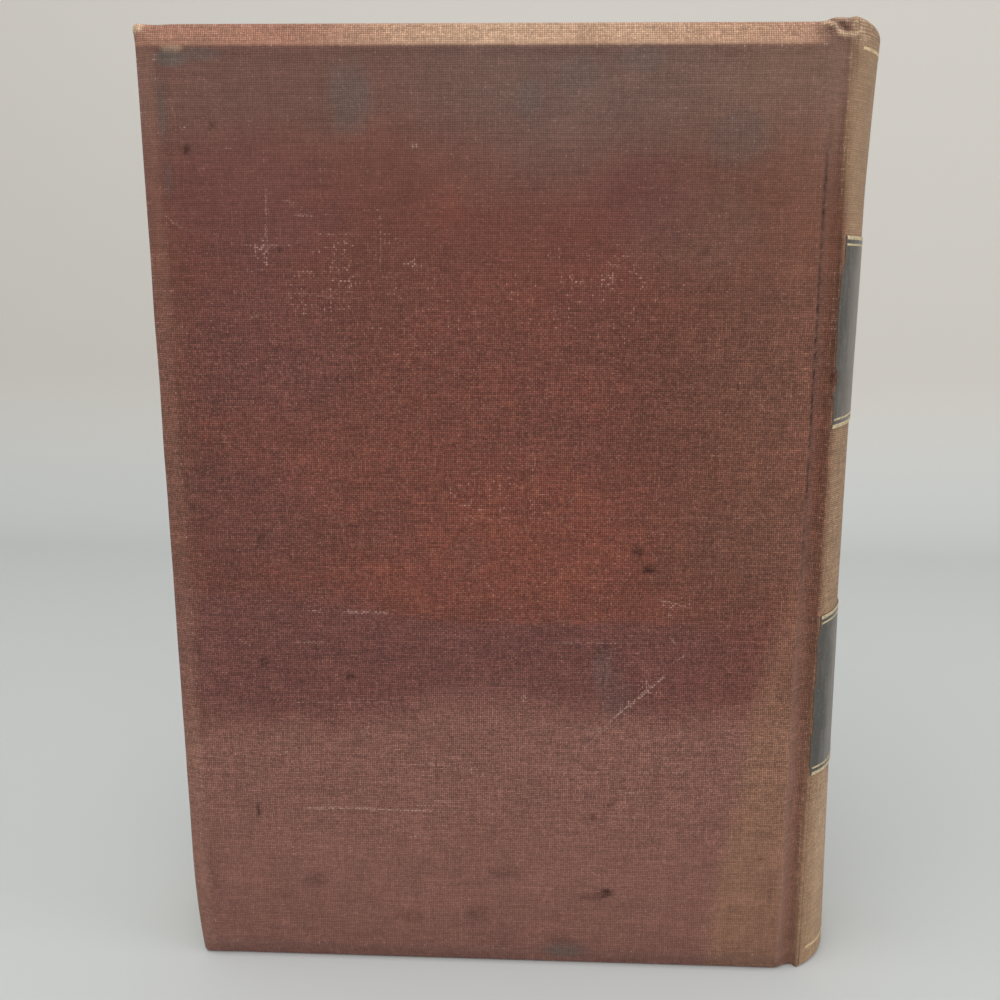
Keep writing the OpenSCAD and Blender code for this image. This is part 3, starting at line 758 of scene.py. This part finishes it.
# spine cloth
def spineGrid(s):
    height = book["height"]
    side = ridgeAngle - 0.05
    angles = np.concatenate([[-side], np.linspace(0.015 - side, side - 0.015, s["columns"]), [side]])
    # up the outside, over the fold and down the inside: (distance from the end, share of the way in)
    wrap = [(s["turnIn"], 1.0), (9, 1.0), (4, 1.0), (1.6, 1.0), (0.9, 0.98), (0.4, 0.88), (0.1, 0.7),
            (0.0, 0.5), (0.1, 0.3), (0.4, 0.12), (0.7, 0.05), (1.0, 0.01), (1.4, 0.0)]
    wrap += [(d, 0.0) for d in (*np.arange(1.75, 6.0, 0.35), 6.6, 7.6)]
    mid = np.linspace(s["evenFrom"], height - s["evenFrom"], s["rows"])
    zs = np.array([w[0] for w in wrap] + list(mid) + [height - w[0] for w in reversed(wrap)])
    inward = np.array([w[1] for w in wrap] + [0.0] * len(mid) + [w[1] for w in reversed(wrap)])
    A, Z = np.meshgrid(angles, zs, indexing="ij")
    _, W = np.meshgrid(angles, inward, indexing="ij")
    crown = np.cos(A * math.pi / 2 / ridgeAngle)
    end = np.minimum(Z, height - Z)
    toEnd = np.clip(s["capRound"] - end, 0, None)
    cap = s["capRound"] - np.sqrt(s["capRound"] ** 2 - toEnd ** 2)
    # the side edges dip into the covers' cloth
    tucked = np.where(np.arange(len(angles)) % (len(angles) - 1) == 0, 0.05, 0.0)[:, None]
    R = spineRadius(A, Z, s) - cap * 0.75 * crown - W * s["innerR"] - tucked
    past = spineR * (ridgeAngle - np.abs(A))                  # past the ridge of the near cover
    lip, hollow, rise = headFold(past + book["ridgeFromBoard"], height - Z)
    back = (A < 0) * (W < 0.6)
    wave = ripple(A * 3.5, np.full_like(Z, 2.0), 14.0) * 0.15 * bump(end, 0, 3.0)
    layers = coverLayers(np.full_like(Z, 100.0), Z, -1)
    for key in ("stain", "dirtAndShade", "rub", "cream", "red", "purple"):
        layers[key] = layers[key] * 0
    Z = Z + np.where(A < 0, headRise[-1], headRise[1]) * rise + wave * np.where(Z > height / 2, 1, 0.3)
    v = alongFrom(np.hypot(np.diff(zs), np.diff(inward) * s["innerR"]), len(wrap), s["evenFrom"])
    U = s["clothFrom"] + spineR * (A + ridgeAngle)
    V = np.broadcast_to(v[None, :], U.shape)
    layers["edge"] = 0.2 * patchy(ripple(A * 3, Z * 0.05, 22.0), 0.2)
    blotch = 1 - 0.12 * patchy(ripple(A * 2.0, Z * 0.03, 21.0), 0)
    faded = spineShare(past + book["ridgeFromBoard"] - spineToneFrom, Z)
    layers["spineTone"] = faded * blotch * (1 - hollow * back)
    mark(layers, "cream", lip * back, 0.35 * bump(end, 0, 0.8),
         0.3 * back * fall(height - Z, 1.8, 2.8) * fall(past, 2, 6),
         0.34 * bump(Z, 38, 30) * softStep(past, 2, 7),
         0.4 * bump(past, 3.0, 1.6) * bump(height - Z, 3.2, 1.4) * back)
    layers["rub"] = 0.02 + 0.25 * bump(end, 0, 0.9)
    layers.update(noLines(Z))
    layers["red"] = hollow * back
    # random dirt, painted shade in the fold's hollow, and a darker torn hollow at the ridge
    mark(layers, "dirtAndShade", 0.3 * patchy(ripple(A * 4, Z * 0.12, 25.0), -0.25), 0.6 * hollow * back,
         bump(past, 0.6, 1.0) * bump(Z, 161, 2.4) * (A < 0))
    layers["clothPlace"] = np.stack([U, V, np.full_like(U, clothPart[0])], -1)
    return roundSpine(R, A, Z), layers


spineCloth = meshObject("spineCloth", [spineGrid(spineShape)], clothSkin)
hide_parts("spine_cloth")
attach(spineCloth, "book_block")
print("spine cloth made")


# leather labels and their gilt
labelShape = {
    "foot": {"upper": 149.8, "lower": 57.0},
    "height": 44.6,
    "thick": 0.25,
    "columns": 53,
    "rules": ((0.0, 0.9), (1.8, 2.3), (42.3, 42.8), (43.7, 44.6)),
    # lost pieces of the side edges: (height over the foot, half height, depth, side)
    "chips": {"upper": ((11.2, 2.6, 1.0, -1), (4, 3, 0.45, -1), (19, 5, 0.2, -1), (33, 4, 0.25, -1),
                        (43.5, 7, 1.2, -1), (12, 3, 0.6, 1), (40, 2.5, 0.8, 1)),
              "lower": ((43.2, 3.6, 0.8, -1), (30, 5, 0.3, -1), (14, 2.4, 0.4, -1), (0.8, 1.6, 0.5, -1),
                        (25, 3, 0.7, 1), (3, 2, 0.9, 1))},
    # how far the head and the foot of a label droop at the ridges
    "droop": {"upper": (0.1, 1.3), "lower": (1.1, 0.0)},
    # how faded each is at the side, and how much more at the crown
    "faded": {"upper": (0.28, 1.0), "lower": (0.0, 0.95)},
}
labelLook = {"leather": tone(64, 61, 56), "rubbed": tone(122, 114, 107), "edge": tone(92, 72, 58),
             "grain": 2.6}
giltLook = {"gold": tone(208, 190, 152), "dull": tone(156, 136, 104)}


def leatherMaterial(name, look):
    material, tree = newMaterial(name)
    place = objectPlace(tree)
    pores = put(tree, "ShaderNodeTexVoronoi", {"Vector": place, "Scale": look["grain"]}, "Distance")
    creases = speckle(place, 1.1, 5.0, 0.6)
    wear = speckle(stretch(place, 0.3, 0.3, 0.12), 1.0, 4.0, 0.6)
    edge, crest = attribute(tree, "rim"), attribute(tree, "crest")
    streak = speckle(stretch(place, 0.9, 0.9, 0.05), 1.0, 4.0, 0.6)
    worn = crest * 0.75 + (wear + streak) * 0.8 - 0.75
    colour = tint(ease(worn, 0.0, 0.9), look["leather"], look["rubbed"])
    colour = tint(ease(creases, 0.56, 0.66) * 0.35, colour, look["rubbed"])
    colour = tint(edge * ease(creases, 0.35, 0.6), colour, look["edge"])
    height = creases * 0.8 + pores
    finishMaterial(tree, colour, wear * 0.25 + 0.36, height, 0.35, 0.00012)
    return material


def giltMaterial(name, look, under):
    material, tree = newMaterial(name)
    place = objectPlace(tree)
    thin = speckle(stretch(place, 1.0, 1.0, 2.0), 1.0, 5.0, 0.7)
    colour = tint(ease(thin, 0.35, 0.55), look["dull"], look["gold"])
    lost = ease(speckle(place, 1.7, 4.0, 0.65), 0.6, 0.64)
    colour = tint(lost, colour, under)
    shine = lost * -0.3 + 0.3
    finishMaterial(tree, colour, thin * 0.2 + 0.35, thin, 0.2, 0.00005, metallic=shine)
    return material


labelLeather = leatherMaterial("labelLeather", labelLook)
labelGilt = giltMaterial("labelGilt", giltLook, labelLook["rubbed"])
spineGilt = giltMaterial("spineGilt", dict(giltLook, gold=tone(212, 186, 144), dull=tone(186, 158, 118)),
                         clothLook["spine"])


def labelSides(which, z, s):
    # half angle on each side at height z over the foot, with the lost pieces taken off
    sides = []
    for side in (-1, 1):
        loss = 0.16 * np.clip(ripple(z * 0.5, z * 0 + side, 31.0), -0.4, 1)
        loss = loss + 0.08 * ripple(z * 1.7, z * 0 + side, 33.0)
        for mid, wide, deep, where in s["chips"][which]:
            if where == side:
                loss = loss + deep * fall(np.abs(z - mid), wide * 0.75, wide * 1.1)
        sides.append(ridgeAngle - (loss + 0.1) / spineR)
    return sides


def labelDroop(which, a, z, s):
    # the leather is drawn down towards the ridges at its head or foot
    high, low = s["droop"][which]
    share = np.clip(z / s["height"], 0, 1)
    outward = np.clip((np.abs(a) - 0.3) / (ridgeAngle - 0.3), 0, 1)
    return z - (high * share ** 2 + low * (1 - share) ** 2) * outward


def labelPatch(which, s):
    # its edge: (in from the edge, over the cloth)
    edgeIn, edgeUp = np.array([(0.0, -0.05), (0.0, 0.1), (0.06, 0.2), (0.25, 0.24), (0.6, s["thick"])]).T
    n = len(edgeIn)
    z = np.concatenate([edgeIn, np.linspace(1.1, s["height"] - 1.1, 62), s["height"] - edgeIn[::-1]])
    left, right = labelSides(which, z, s)
    # the edge keeps its size at both sides, and the columns between are spread evenly
    A = np.zeros((s["columns"], len(z)))
    steps = (edgeIn / spineR)[:, None]
    A[:n] = steps - left
    A[-n:] = (right - steps)[::-1]
    inner = np.linspace(0, 1, s["columns"] - 2 * n)[:, None]
    A[n:-n] = 1.0 / spineR - left + (right + left - 2.0 / spineR) * inner
    up, upZ = (np.full(count, s["thick"]) for count in A.shape)
    for level in (up, upZ):
        level[:n], level[-n:] = edgeUp, edgeUp[::-1]
    Z = labelDroop(which, A, np.broadcast_to(z[None, :], A.shape), s) + s["foot"][which]
    H = np.minimum(up[:, None], upZ[None, :])
    R = spineRadius(A, Z, spineShape) + 0.03 + H + 0.02 * ripple(A * 12, Z * 0.3, 35.0)
    side = np.minimum(A + left[None, :], right[None, :] - A) * spineR
    rim = np.clip(1 - np.minimum(side, np.minimum(z, s["height"] - z)[None, :]) / 0.9, 0, 1)
    atSide, atCrown = s["faded"][which]
    crest = atSide * softStep(side, 0.4, 1.6) + atCrown * softStep(side, 1.0, 12.0)
    return [(roundSpine(R, A, Z), {"rim": rim, "crest": crest})]


def giltBands(bands, sidesAt, foot, over, droop=lambda a, z: z):
    # thin raised ribbons of gold round the spine
    grids = []
    for low, high in bands:
        z = np.array([low, low, low + 0.08, (low + high) / 2, high - 0.08, high, high])
        h = np.array([-0.05, 0.03, 0.06, 0.06, 0.06, 0.03, -0.05])
        left, right = sidesAt(z)
        A = np.stack([np.linspace(-l, r, 80) for l, r in zip(left, right)], 1)
        Z = droop(A, np.broadcast_to(z[None, :], A.shape)) + foot
        H = np.tile(h, (len(A), 1))
        H[0], H[-1] = h[0], h[-1]
        Z = Z + 0.05 * ripple(A * 6, Z * 0.1, 37.0)
        R = spineRadius(A, Z, spineShape) + over + H
        grids.append((roundSpine(R, A, Z), {}))
    return grids


for which in ("upper", "lower"):
    patch = meshObject(which + "Label", labelPatch(which, labelShape), labelLeather)
    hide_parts(which + "_label")
    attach(patch, "book_block")
    rules = meshObject(which + "LabelRules", giltBands(
        labelShape["rules"], lambda z: [half - 0.15 / spineR for half in labelSides(which, z, labelShape)],
        labelShape["foot"][which], 0.28, lambda a, z: labelDroop(which, a, z, labelShape)), labelGilt)
    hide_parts(which + "_label_rules")
    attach(rules, "book_block")
lineHalf = math.asin((ridgeY - 0.3) / spineR)
lineBands = ((5.0, 5.7), (235.4, 236.1))      # up from the tail, mm
lineSides = lambda z: [np.full(len(z), lineHalf - 0.12), np.full(len(z), lineHalf)]
spineLines = meshObject("spineGiltLines", giltBands(lineBands, lineSides, 0.0, 0.0), spineGilt)
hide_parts("spine_gilt_lines")
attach(spineLines, "book_block")
print("labels and gilt made")


# leaves: a stack made by rule, each layer a few leaves pressed together
leafStack = {
    "Count": 112,
    "Thickness": 26.0 * mm,
    "Fore Edge": leafBox[0].x,
    "Hollow": 4.5 * mm,
    "Spine Centre": spineX * mm,
    "Spine Radius": leafBox[1].x - spineX * mm,
    "Foot": leafBox[0].z,
    "Height": leafBox[1].z - leafBox[0].z,
    "Unevenness": 0.16 * mm,
    "Waviness": 0.3 * mm,
    "Fan From": 10.4 * mm,      # from the spine's centre
    "Fan To": 11.9 * mm,
    "Shoulder": 0.123,
    "Seed": 4,
}
leafShare = 0.93     # how much of its layer each sheaf of leaves fills
paperLook = {"leaf": tone(214, 196, 158), "old": tone(186, 156, 112), "dust": tone(150, 132, 108),
             "fox": tone(150, 104, 62)}


def paperEdgeMaterial(name, look):
    material, tree = newMaterial(name)
    place = objectPlace(tree)
    leaves = speckle(stretch(place, 0.05, 9.0, 0.05), 1.0, 3.0, 0.7)
    broad = speckle(stretch(place, 0.02, 0.9, 0.02), 1.0, 3.0, 0.6)
    up = axis(place, 2)
    dust = ease(up, 237.0, 237.6, 0.0, 0.55)
    colour = tint(ease(leaves, 0.35, 0.65), look["old"], look["leaf"])
    colour = tint(ease(broad, 0.45, 0.75, 0.0, 0.5), colour, look["old"])
    colour = tint(dust * ease(speckle(place, 0.12, 4.0, 0.6), 0.3, 0.7), colour, look["dust"])
    spots = ease(speckle(place, 0.6, 3.0, 0.6), 0.68, 0.74, 0.0, 0.5)
    colour = tint(spots, colour, look["fox"])
    finishMaterial(tree, colour, 0.9, leaves, 0.5, 0.00012, specular=0.2)
    return material


def endpaperMaterial(name, look):
    material, tree = newMaterial(name)
    place = objectPlace(tree)
    pulp = speckle(place, 1.6, 5.0, 0.65)
    cloud = speckle(place, 0.018, 4.0, 0.55)
    x, z = axis(place, 0), axis(place, 2)
    colour = tint(ease(cloud, 0.35, 0.7, 0.0, 0.55), look["leaf"], look["old"])
    # browning from the turned-in cloth round the edges
    fromEnd = calc("MINIMUM", z, book["height"] - z)
    near = pulp * 5.0 + calc("MINIMUM", x - foreX, fromEnd)
    colour = tint(ease(near, 14.0, 21.0, 0.45, 0.0), colour, look["old"])
    spots = ease(speckle(place, 0.22, 4.0, 0.6), 0.66, 0.72, 0.0, 0.45)
    colour = tint(spots, colour, look["fox"])
    shade = pulp * 0.16 + 0.92
    colour = shaded(colour, shade)
    finishMaterial(tree, colour, 0.88, pulp, 0.12, 0.00008, specular=0.25)
    return material


leafPaper = paperEdgeMaterial("leafEdges", paperLook)
endPaper = endpaperMaterial("endPaper", paperLook)


def newTree(name, inputs):
    tree = bpy.data.node_groups.new(name, "GeometryNodeTree")
    tree.interface.new_socket("Geometry", in_out="OUTPUT", socket_type="NodeSocketGeometry")
    for key, value in inputs.items():
        kind = "NodeSocketInt" if isinstance(value, int) else "NodeSocketFloat"
        tree.interface.new_socket(key, in_out="INPUT", socket_type=kind)
    start = tree.nodes.new("NodeGroupInput")
    return tree, lambda key: Value(tree, start.outputs[key])


def finishTree(tree, shape):
    tree.links.new(shape.socket, tree.nodes.new("NodeGroupOutput").inputs[0])
    return tree


def coloured(shape, material):
    return put(shape.tree, "GeometryNodeSetMaterial", {"Geometry": shape, "Material": material})


def instanced(points, shape, **inputs):
    # copies of a shape on points, made real because the export drops instances
    copies = put(points.tree, "GeometryNodeInstanceOnPoints", {"Points": points, "Instance": shape, **inputs})
    return put(points.tree, "GeometryNodeRealizeInstances", {0: copies})


def runTree(tree, name, inputs):
    holder = added(name + "Tree", bpy.data.meshes.new(name + "Empty"))
    modifier = holder.modifiers.new(name, "NODES")
    modifier.node_group = tree
    for item in tree.interface.items_tree:
        if item.in_out == "INPUT" and item.name in inputs:
            modifier[item.identifier] = inputs[item.name]
    graph = bpy.context.evaluated_depsgraph_get()
    mesh = bpy.data.meshes.new_from_object(holder.evaluated_get(graph), preserve_all_data_layers=True,
                                           depsgraph=graph)
    holder.modifiers.remove(modifier)
    bpy.data.objects.remove(holder)
    return added(name, mesh)


def leafTree(inputs):
    tree, size = newTree("leafStack", inputs)
    half = size("Thickness") * 0.5
    step = size("Thickness") / size("Count")
    line = put(tree, "GeometryNodeMeshLine", {
        "Count": size("Count"), "Start Location": vector(tree, y=step * 0.5 - half),
        "Offset": vector(tree, y=step)})
    spot = put(tree, "GeometryNodeInputPosition")
    x, y, z = (axis(spot, number) for number in range(3))
    chance = lambda extra: put(tree, "FunctionNodeRandomValue", {
        "Min": -0.5, "Max": 0.5, "Seed": size("Seed") + extra}, 1, data_type="FLOAT")
    away = y / half
    hollow = size("Hollow") * (1.0 - away * away)
    fore = size("Fore Edge") + hollow + size("Unevenness") * (chance(1) + 0.5)
    square = size("Spine Radius") * size("Spine Radius") - y * y
    back = size("Spine Centre") + calc("SQRT", square) - size("Unevenness") * (chance(2) + 0.6)
    middle = size("Height") * 0.5 + size("Foot") + size("Unevenness") * chance(3)
    leafSize = vector(tree, back - fore, step * leafShare, size("Height") - size("Unevenness"))
    # size and place are taken before the points move
    sized = put(tree, "GeometryNodeStoreNamedAttribute",
                {"Geometry": line, "Name": "leafSize", "Value": leafSize},
                data_type="FLOAT_VECTOR", domain="POINT")
    moved = put(tree, "GeometryNodeSetPosition",
                {"Geometry": sized, "Position": vector(tree, (fore + back) * 0.5, y, middle)})
    kept = put(tree, "GeometryNodeInputNamedAttribute", {"Name": "leafSize"}, data_type="FLOAT_VECTOR")
    leaf = put(tree, "GeometryNodeMeshCube", {"Vertices X": 16, "Vertices Y": 2, "Vertices Z": 12})
    # columns of points closer together towards the spine, where the leaves bend
    closer = vector(tree, 0.5 - (0.5 - x) ** 3.0, y, z)
    leaf = put(tree, "GeometryNodeSetPosition", {"Geometry": leaf, "Position": closer})
    stack = instanced(moved, leaf, Scale=kept)
    # the backing fans the leaves out to the two shoulders
    near = put(tree, "ShaderNodeMapRange", {
        0: x, 1: size("Spine Centre") + size("Fan From"), 2: size("Spine Centre") + size("Fan To")})
    wavy = (speckle(stretch(spot, 14.0, 60.0, 14.0), 1.0, 2.0) - 0.5) * size("Waviness")
    shift = y * size("Shoulder") * near + wavy * (1.0 - abs(away) ** 4.0)
    fanned = put(tree, "GeometryNodeSetPosition", {"Geometry": stack, "Offset": vector(tree, y=shift)})
    return finishTree(tree, coloured(fanned, leafPaper))


leaves = runTree(leafTree(leafStack), "leaves", leafStack)
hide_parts("text_block")
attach(leaves, "book_block")
print("leaves stacked:", len(leaves.data.polygons), "faces")


# the folds of the endpapers: a strip on the shoulder of the leaves, and one from there to the pastedown
foldStrips = {
    # key: ((x, distance from the middle) across the strip, foot, head)
    "OnLeaves": (((75.4, 13.22), (76.1, 13.22), (76.6, 13.5), (77.1, 14.03), (77.65, 14.62)), 3.6, 237.4),
    "ToCover": (((75.2, 13.47), (75.98, 13.47), (76.3, 13.52), (76.6, 13.64), (77.1, 14.14), (77.65, 14.7)),
                4.6, 236.4),
}
for side, cover in ((-1, "back_cover"), (1, "front_cover")):
    for key, (line, foot, head) in foldStrips.items():
        across, zs = np.array(line), np.linspace(foot, head, 40)
        X, Z = np.meshgrid(across[:, 0], zs, indexing="ij")
        Y = across[:, 1][:, None] + 0.03 * ripple(X * 0.4, Z * 0.05, 43.0 + side)
        facing = side if key == "ToCover" else -side
        sheet = np.stack([X, side * Y, Z], -1)[:, ::facing]
        strip = meshObject(cover.split("_")[0] + "Endpaper" + key, [(sheet, {})], endPaper)
        if key == "ToCover":
            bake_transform(strip, cover, "book_block", start=(75.98 * mm, 0, 0), end=(77.6 * mm, 0, 0))
        else:
            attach(strip, "book_block")
print("endpaper folds made")


# headband and tailband: silk wound over a core
leafSpineR = leafBox[1].x / mm - spineX
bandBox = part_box("headband")
bandHalf = math.asin(bandBox[1].y / mm / (leafSpineR + 0.1))
bandWind = {
    "Turns": 96,
    "Arc Radius": (leafSpineR - 0.95) * mm,
    "Half Angle": bandHalf - 0.03,
    "Core Radius": 0.84 * mm,
    "Thread Radius": 0.19 * mm,
}
silkLook = {"red": tone(150, 58, 46), "cream": tone(206, 190, 152)}


def silkMaterial(name, colour):
    material, tree = newMaterial(name)
    place = objectPlace(tree)
    fibre = speckle(stretch(place, 2.0, 2.0, 9.0), 1.0, 3.0, 0.6)
    shade = tint(ease(fibre, 0.3, 0.7, 0.0, 0.5), colour, paperLook["dust"])
    finishMaterial(tree, shade, 0.45, fibre, 0.4, 0.0001, sheen=0.4)
    return material


redSilk, creamSilk = silkMaterial("redSilk", silkLook["red"]), silkMaterial("creamSilk", silkLook["cream"])


def bandTree(inputs):
    tree, size = newTree("bandWinding", inputs)
    circle = lambda key, corners: put(tree, "GeometryNodeCurvePrimitiveCircle",
                                      {"Resolution": corners, "Radius": size(key)})
    swept = lambda path, profile, caps=False: put(tree, "GeometryNodeCurveToMesh", {
        "Curve": path, "Profile Curve": profile, "Fill Caps": caps})
    arc = put(tree, "GeometryNodeCurveArc", {
        "Resolution": 48, "Radius": size("Arc Radius"), "Start Angle": size("Half Angle") * -1.0,
        "Sweep Angle": size("Half Angle") * 2.0})
    points = put(tree, "GeometryNodeCurveToPoints", {"Curve": arc, "Count": size("Turns")}, mode="COUNT")
    turned = Value(tree, points.socket.node.outputs["Rotation"])
    thread = swept(circle("Core Radius", 16), circle("Thread Radius", 6))
    # three turns of one silk, then three of the other
    cream = put(tree, "FunctionNodeCompare", {"A": put(tree, "GeometryNodeInputIndex") % 6.0, "B": 2.5},
                data_type="FLOAT", operation="LESS_THAN")
    red = put(tree, "FunctionNodeBooleanMath", {0: cream}, operation="NOT")
    join = tree.nodes.new("GeometryNodeJoinGeometry")
    for choose, silk in ((red, redSilk), (cream, creamSilk)):
        wound = instanced(points, thread, Selection=choose, Rotation=turned)
        tree.links.new(coloured(wound, silk).socket, join.inputs[0])
    core = coloured(swept(arc, circle("Core Radius", 12), True), creamSilk)
    tree.links.new(core.socket, join.inputs[0])
    return finishTree(tree, put(tree, "GeometryNodeSetShadeSmooth",
                                {"Geometry": Value(tree, join.outputs[0])}))


bandWinding = bandTree(bandWind)
for name, node, z in (("headBand", "headband", bandBox[0].z / mm + 10.0), ("tailBand", "tailband", 2.5)):
    winding = runTree(bandWinding, name, bandWind)
    winding.data.transform(Matrix.Translation((spineX * mm, 0, z * mm)))
    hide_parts(node)
    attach(winding, "book_block")
    # the band's cloth tongue, pasted down the spine under the mull
    up = 1 if name == "headBand" else -1
    edge = z - up * 1.0
    A, T = np.meshgrid(np.linspace(-bandHalf + 0.1, bandHalf - 0.1, 30), np.linspace(0, 1, 9), indexing="ij")
    R = leafSpineR + 0.1 + 0.04 * ripple(A * 9, T * 3, 41.0)
    sheet = roundSpine(R, A, edge + up * (1.0 - 9.5 * T))[:, ::-up]
    tongue = meshObject(name + "Tongue", [(sheet, {})], creamSilk)
    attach(tongue, "book_block")
print("bands wound")


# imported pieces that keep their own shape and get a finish
def boardMaterial(name, base, dark, fleck):
    material, tree = newMaterial(name)
    place = objectPlace(tree)
    pulp = speckle(place, 0.8, 6.0, 0.7)
    layers = speckle(stretch(place, 0.1, 6.0, 0.1), 1.0, 2.0)
    colour = tint(ease(pulp, 0.35, 0.65), base, dark)
    colour = tint(ease(layers, 0.5, 0.8, 0.0, 0.35), colour, dark)
    colour = tint(ease(speckle(place, 2.2, 2.0), 0.68, 0.72, 0.0, 0.6), colour, fleck)
    finishMaterial(tree, colour, 0.92, pulp, 0.35, 0.0002, specular=0.2)
    return material


mullPitch = 1.1     # thread to thread in the open-weave lining, mm


def mullMaterial(name, thread, gap):
    material, tree = newMaterial(name)
    place = objectPlace(tree)
    across = axis(place, 0) + axis(place, 1) * 0.8
    lines = [abs(calc("SINE", value * (math.pi / mullPitch))) for value in (across, axis(place, 2))]
    holes = ease(lines[0], 0.5, 0.75) * ease(lines[1], 0.5, 0.75)
    colour = tint(holes, thread, gap)
    fuzz = speckle(place, 3.0, 3.0)
    colour = tint(ease(fuzz, 0.5, 0.8, 0.0, 0.3), colour, gap)
    finishMaterial(tree, colour, 0.9, 1.0 - holes, 0.5, 0.0002, specular=0.15)
    return material


greyBoard = boardMaterial("millBoard", tone(150, 136, 112), tone(112, 98, 78), tone(70, 60, 50))
liningPaper = boardMaterial("liningPaper", tone(184, 160, 120), tone(150, 124, 86), tone(104, 84, 60))
cardStrip = boardMaterial("cardStrip", tone(166, 146, 112), tone(130, 110, 82), tone(84, 70, 54))
mullCloth = mullMaterial("mullCloth", tone(206, 198, 172), tone(150, 132, 98))
finishes = {
    "back_board": greyBoard, "front_board": greyBoard, "spine_inlay": cardStrip, "spine_lining": liningPaper,
    "spine_mull": mullCloth, "back_mull_flap": mullCloth, "front_mull_flap": mullCloth,
    "back_flyleaf": endPaper, "front_flyleaf": endPaper, "back_pastedown": endPaper,
    "front_pastedown": endPaper,
}
for node, material in finishes.items():
    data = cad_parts[node].data
    data.materials.clear()
    data.materials.append(material)
print("packed pieces finished")


# floor, backdrop and light
studio = {
    "floor": tone(202, 205, 204),
    "wall": tone(212, 208, 201),
    "wallBehind": 0.55,
    "bend": 0.12,           # radius of the sweep from floor to wall, m
    "world": 0.5,
}


def makeStudio(s):
    bm = bmesh.new()
    profile = [(-1.2, 0.0), (s["wallBehind"] - s["bend"], 0.0)]
    for a in np.linspace(0.1, math.pi / 2, 14):
        profile.append((s["wallBehind"] - s["bend"] + s["bend"] * math.sin(a),
                        s["bend"] - s["bend"] * math.cos(a)))
    profile.append((s["wallBehind"], 1.6))
    rows = [[bm.verts.new((x, y, z)) for y, z in profile] for x in (-2.5, 2.5)]
    for k in range(len(profile) - 1):
        bm.faces.new((rows[0][k], rows[1][k], rows[1][k + 1], rows[0][k + 1]))
    mesh = bpy.data.meshes.new("studioSweep")
    bm.to_mesh(mesh)
    bm.free()
    mesh.polygons.foreach_set("use_smooth", [True] * len(mesh.polygons))
    sweep = added("studioSweep", mesh)
    material, tree = newMaterial("paleSweep")
    place = put(tree, "ShaderNodeTexCoord", None, "Object")
    up = axis(place, 2)
    colour = tint(ease(up, 0.0, 0.12), s["floor"], s["wall"])
    finishMaterial(tree, colour, 0.8, speckle(place, 300.0), 0.05, 0.0002, specular=0.2)
    mesh.materials.append(material)
    world = bpy.data.worlds.new("softRoom")
    bpy.context.scene.world = world
    world.use_nodes = True
    sky = world.node_tree.nodes["Background"]
    sky.inputs[0].default_value = (1, 1, 1, 1)
    sky.inputs[1].default_value = s["world"]
    for name, place, aim, size, power in (
            ("overheadLight", (-0.2, -0.3, 1.0), (0, 0, 0.12), 0.8, 5.0),
            ("frontLight", (0.25, -1.1, 0.4), (0, 0, 0.08), 0.9, 4.0),
            ("spineLight", (0.9, -0.2, 0.5), (0.05, 0, 0.12), 0.5, 2.0)):
        data = bpy.data.lights.new(name, "AREA")
        data.size = size
        data.energy = power
        lamp = added(name, data)
        lamp.location = place
        lamp.rotation_euler = (Vector(aim) - Vector(place)).to_track_quat("-Z", "Y").to_euler()


makeStudio(studio)
bpy.context.scene.view_settings.view_transform = "Standard"
print("studio made")
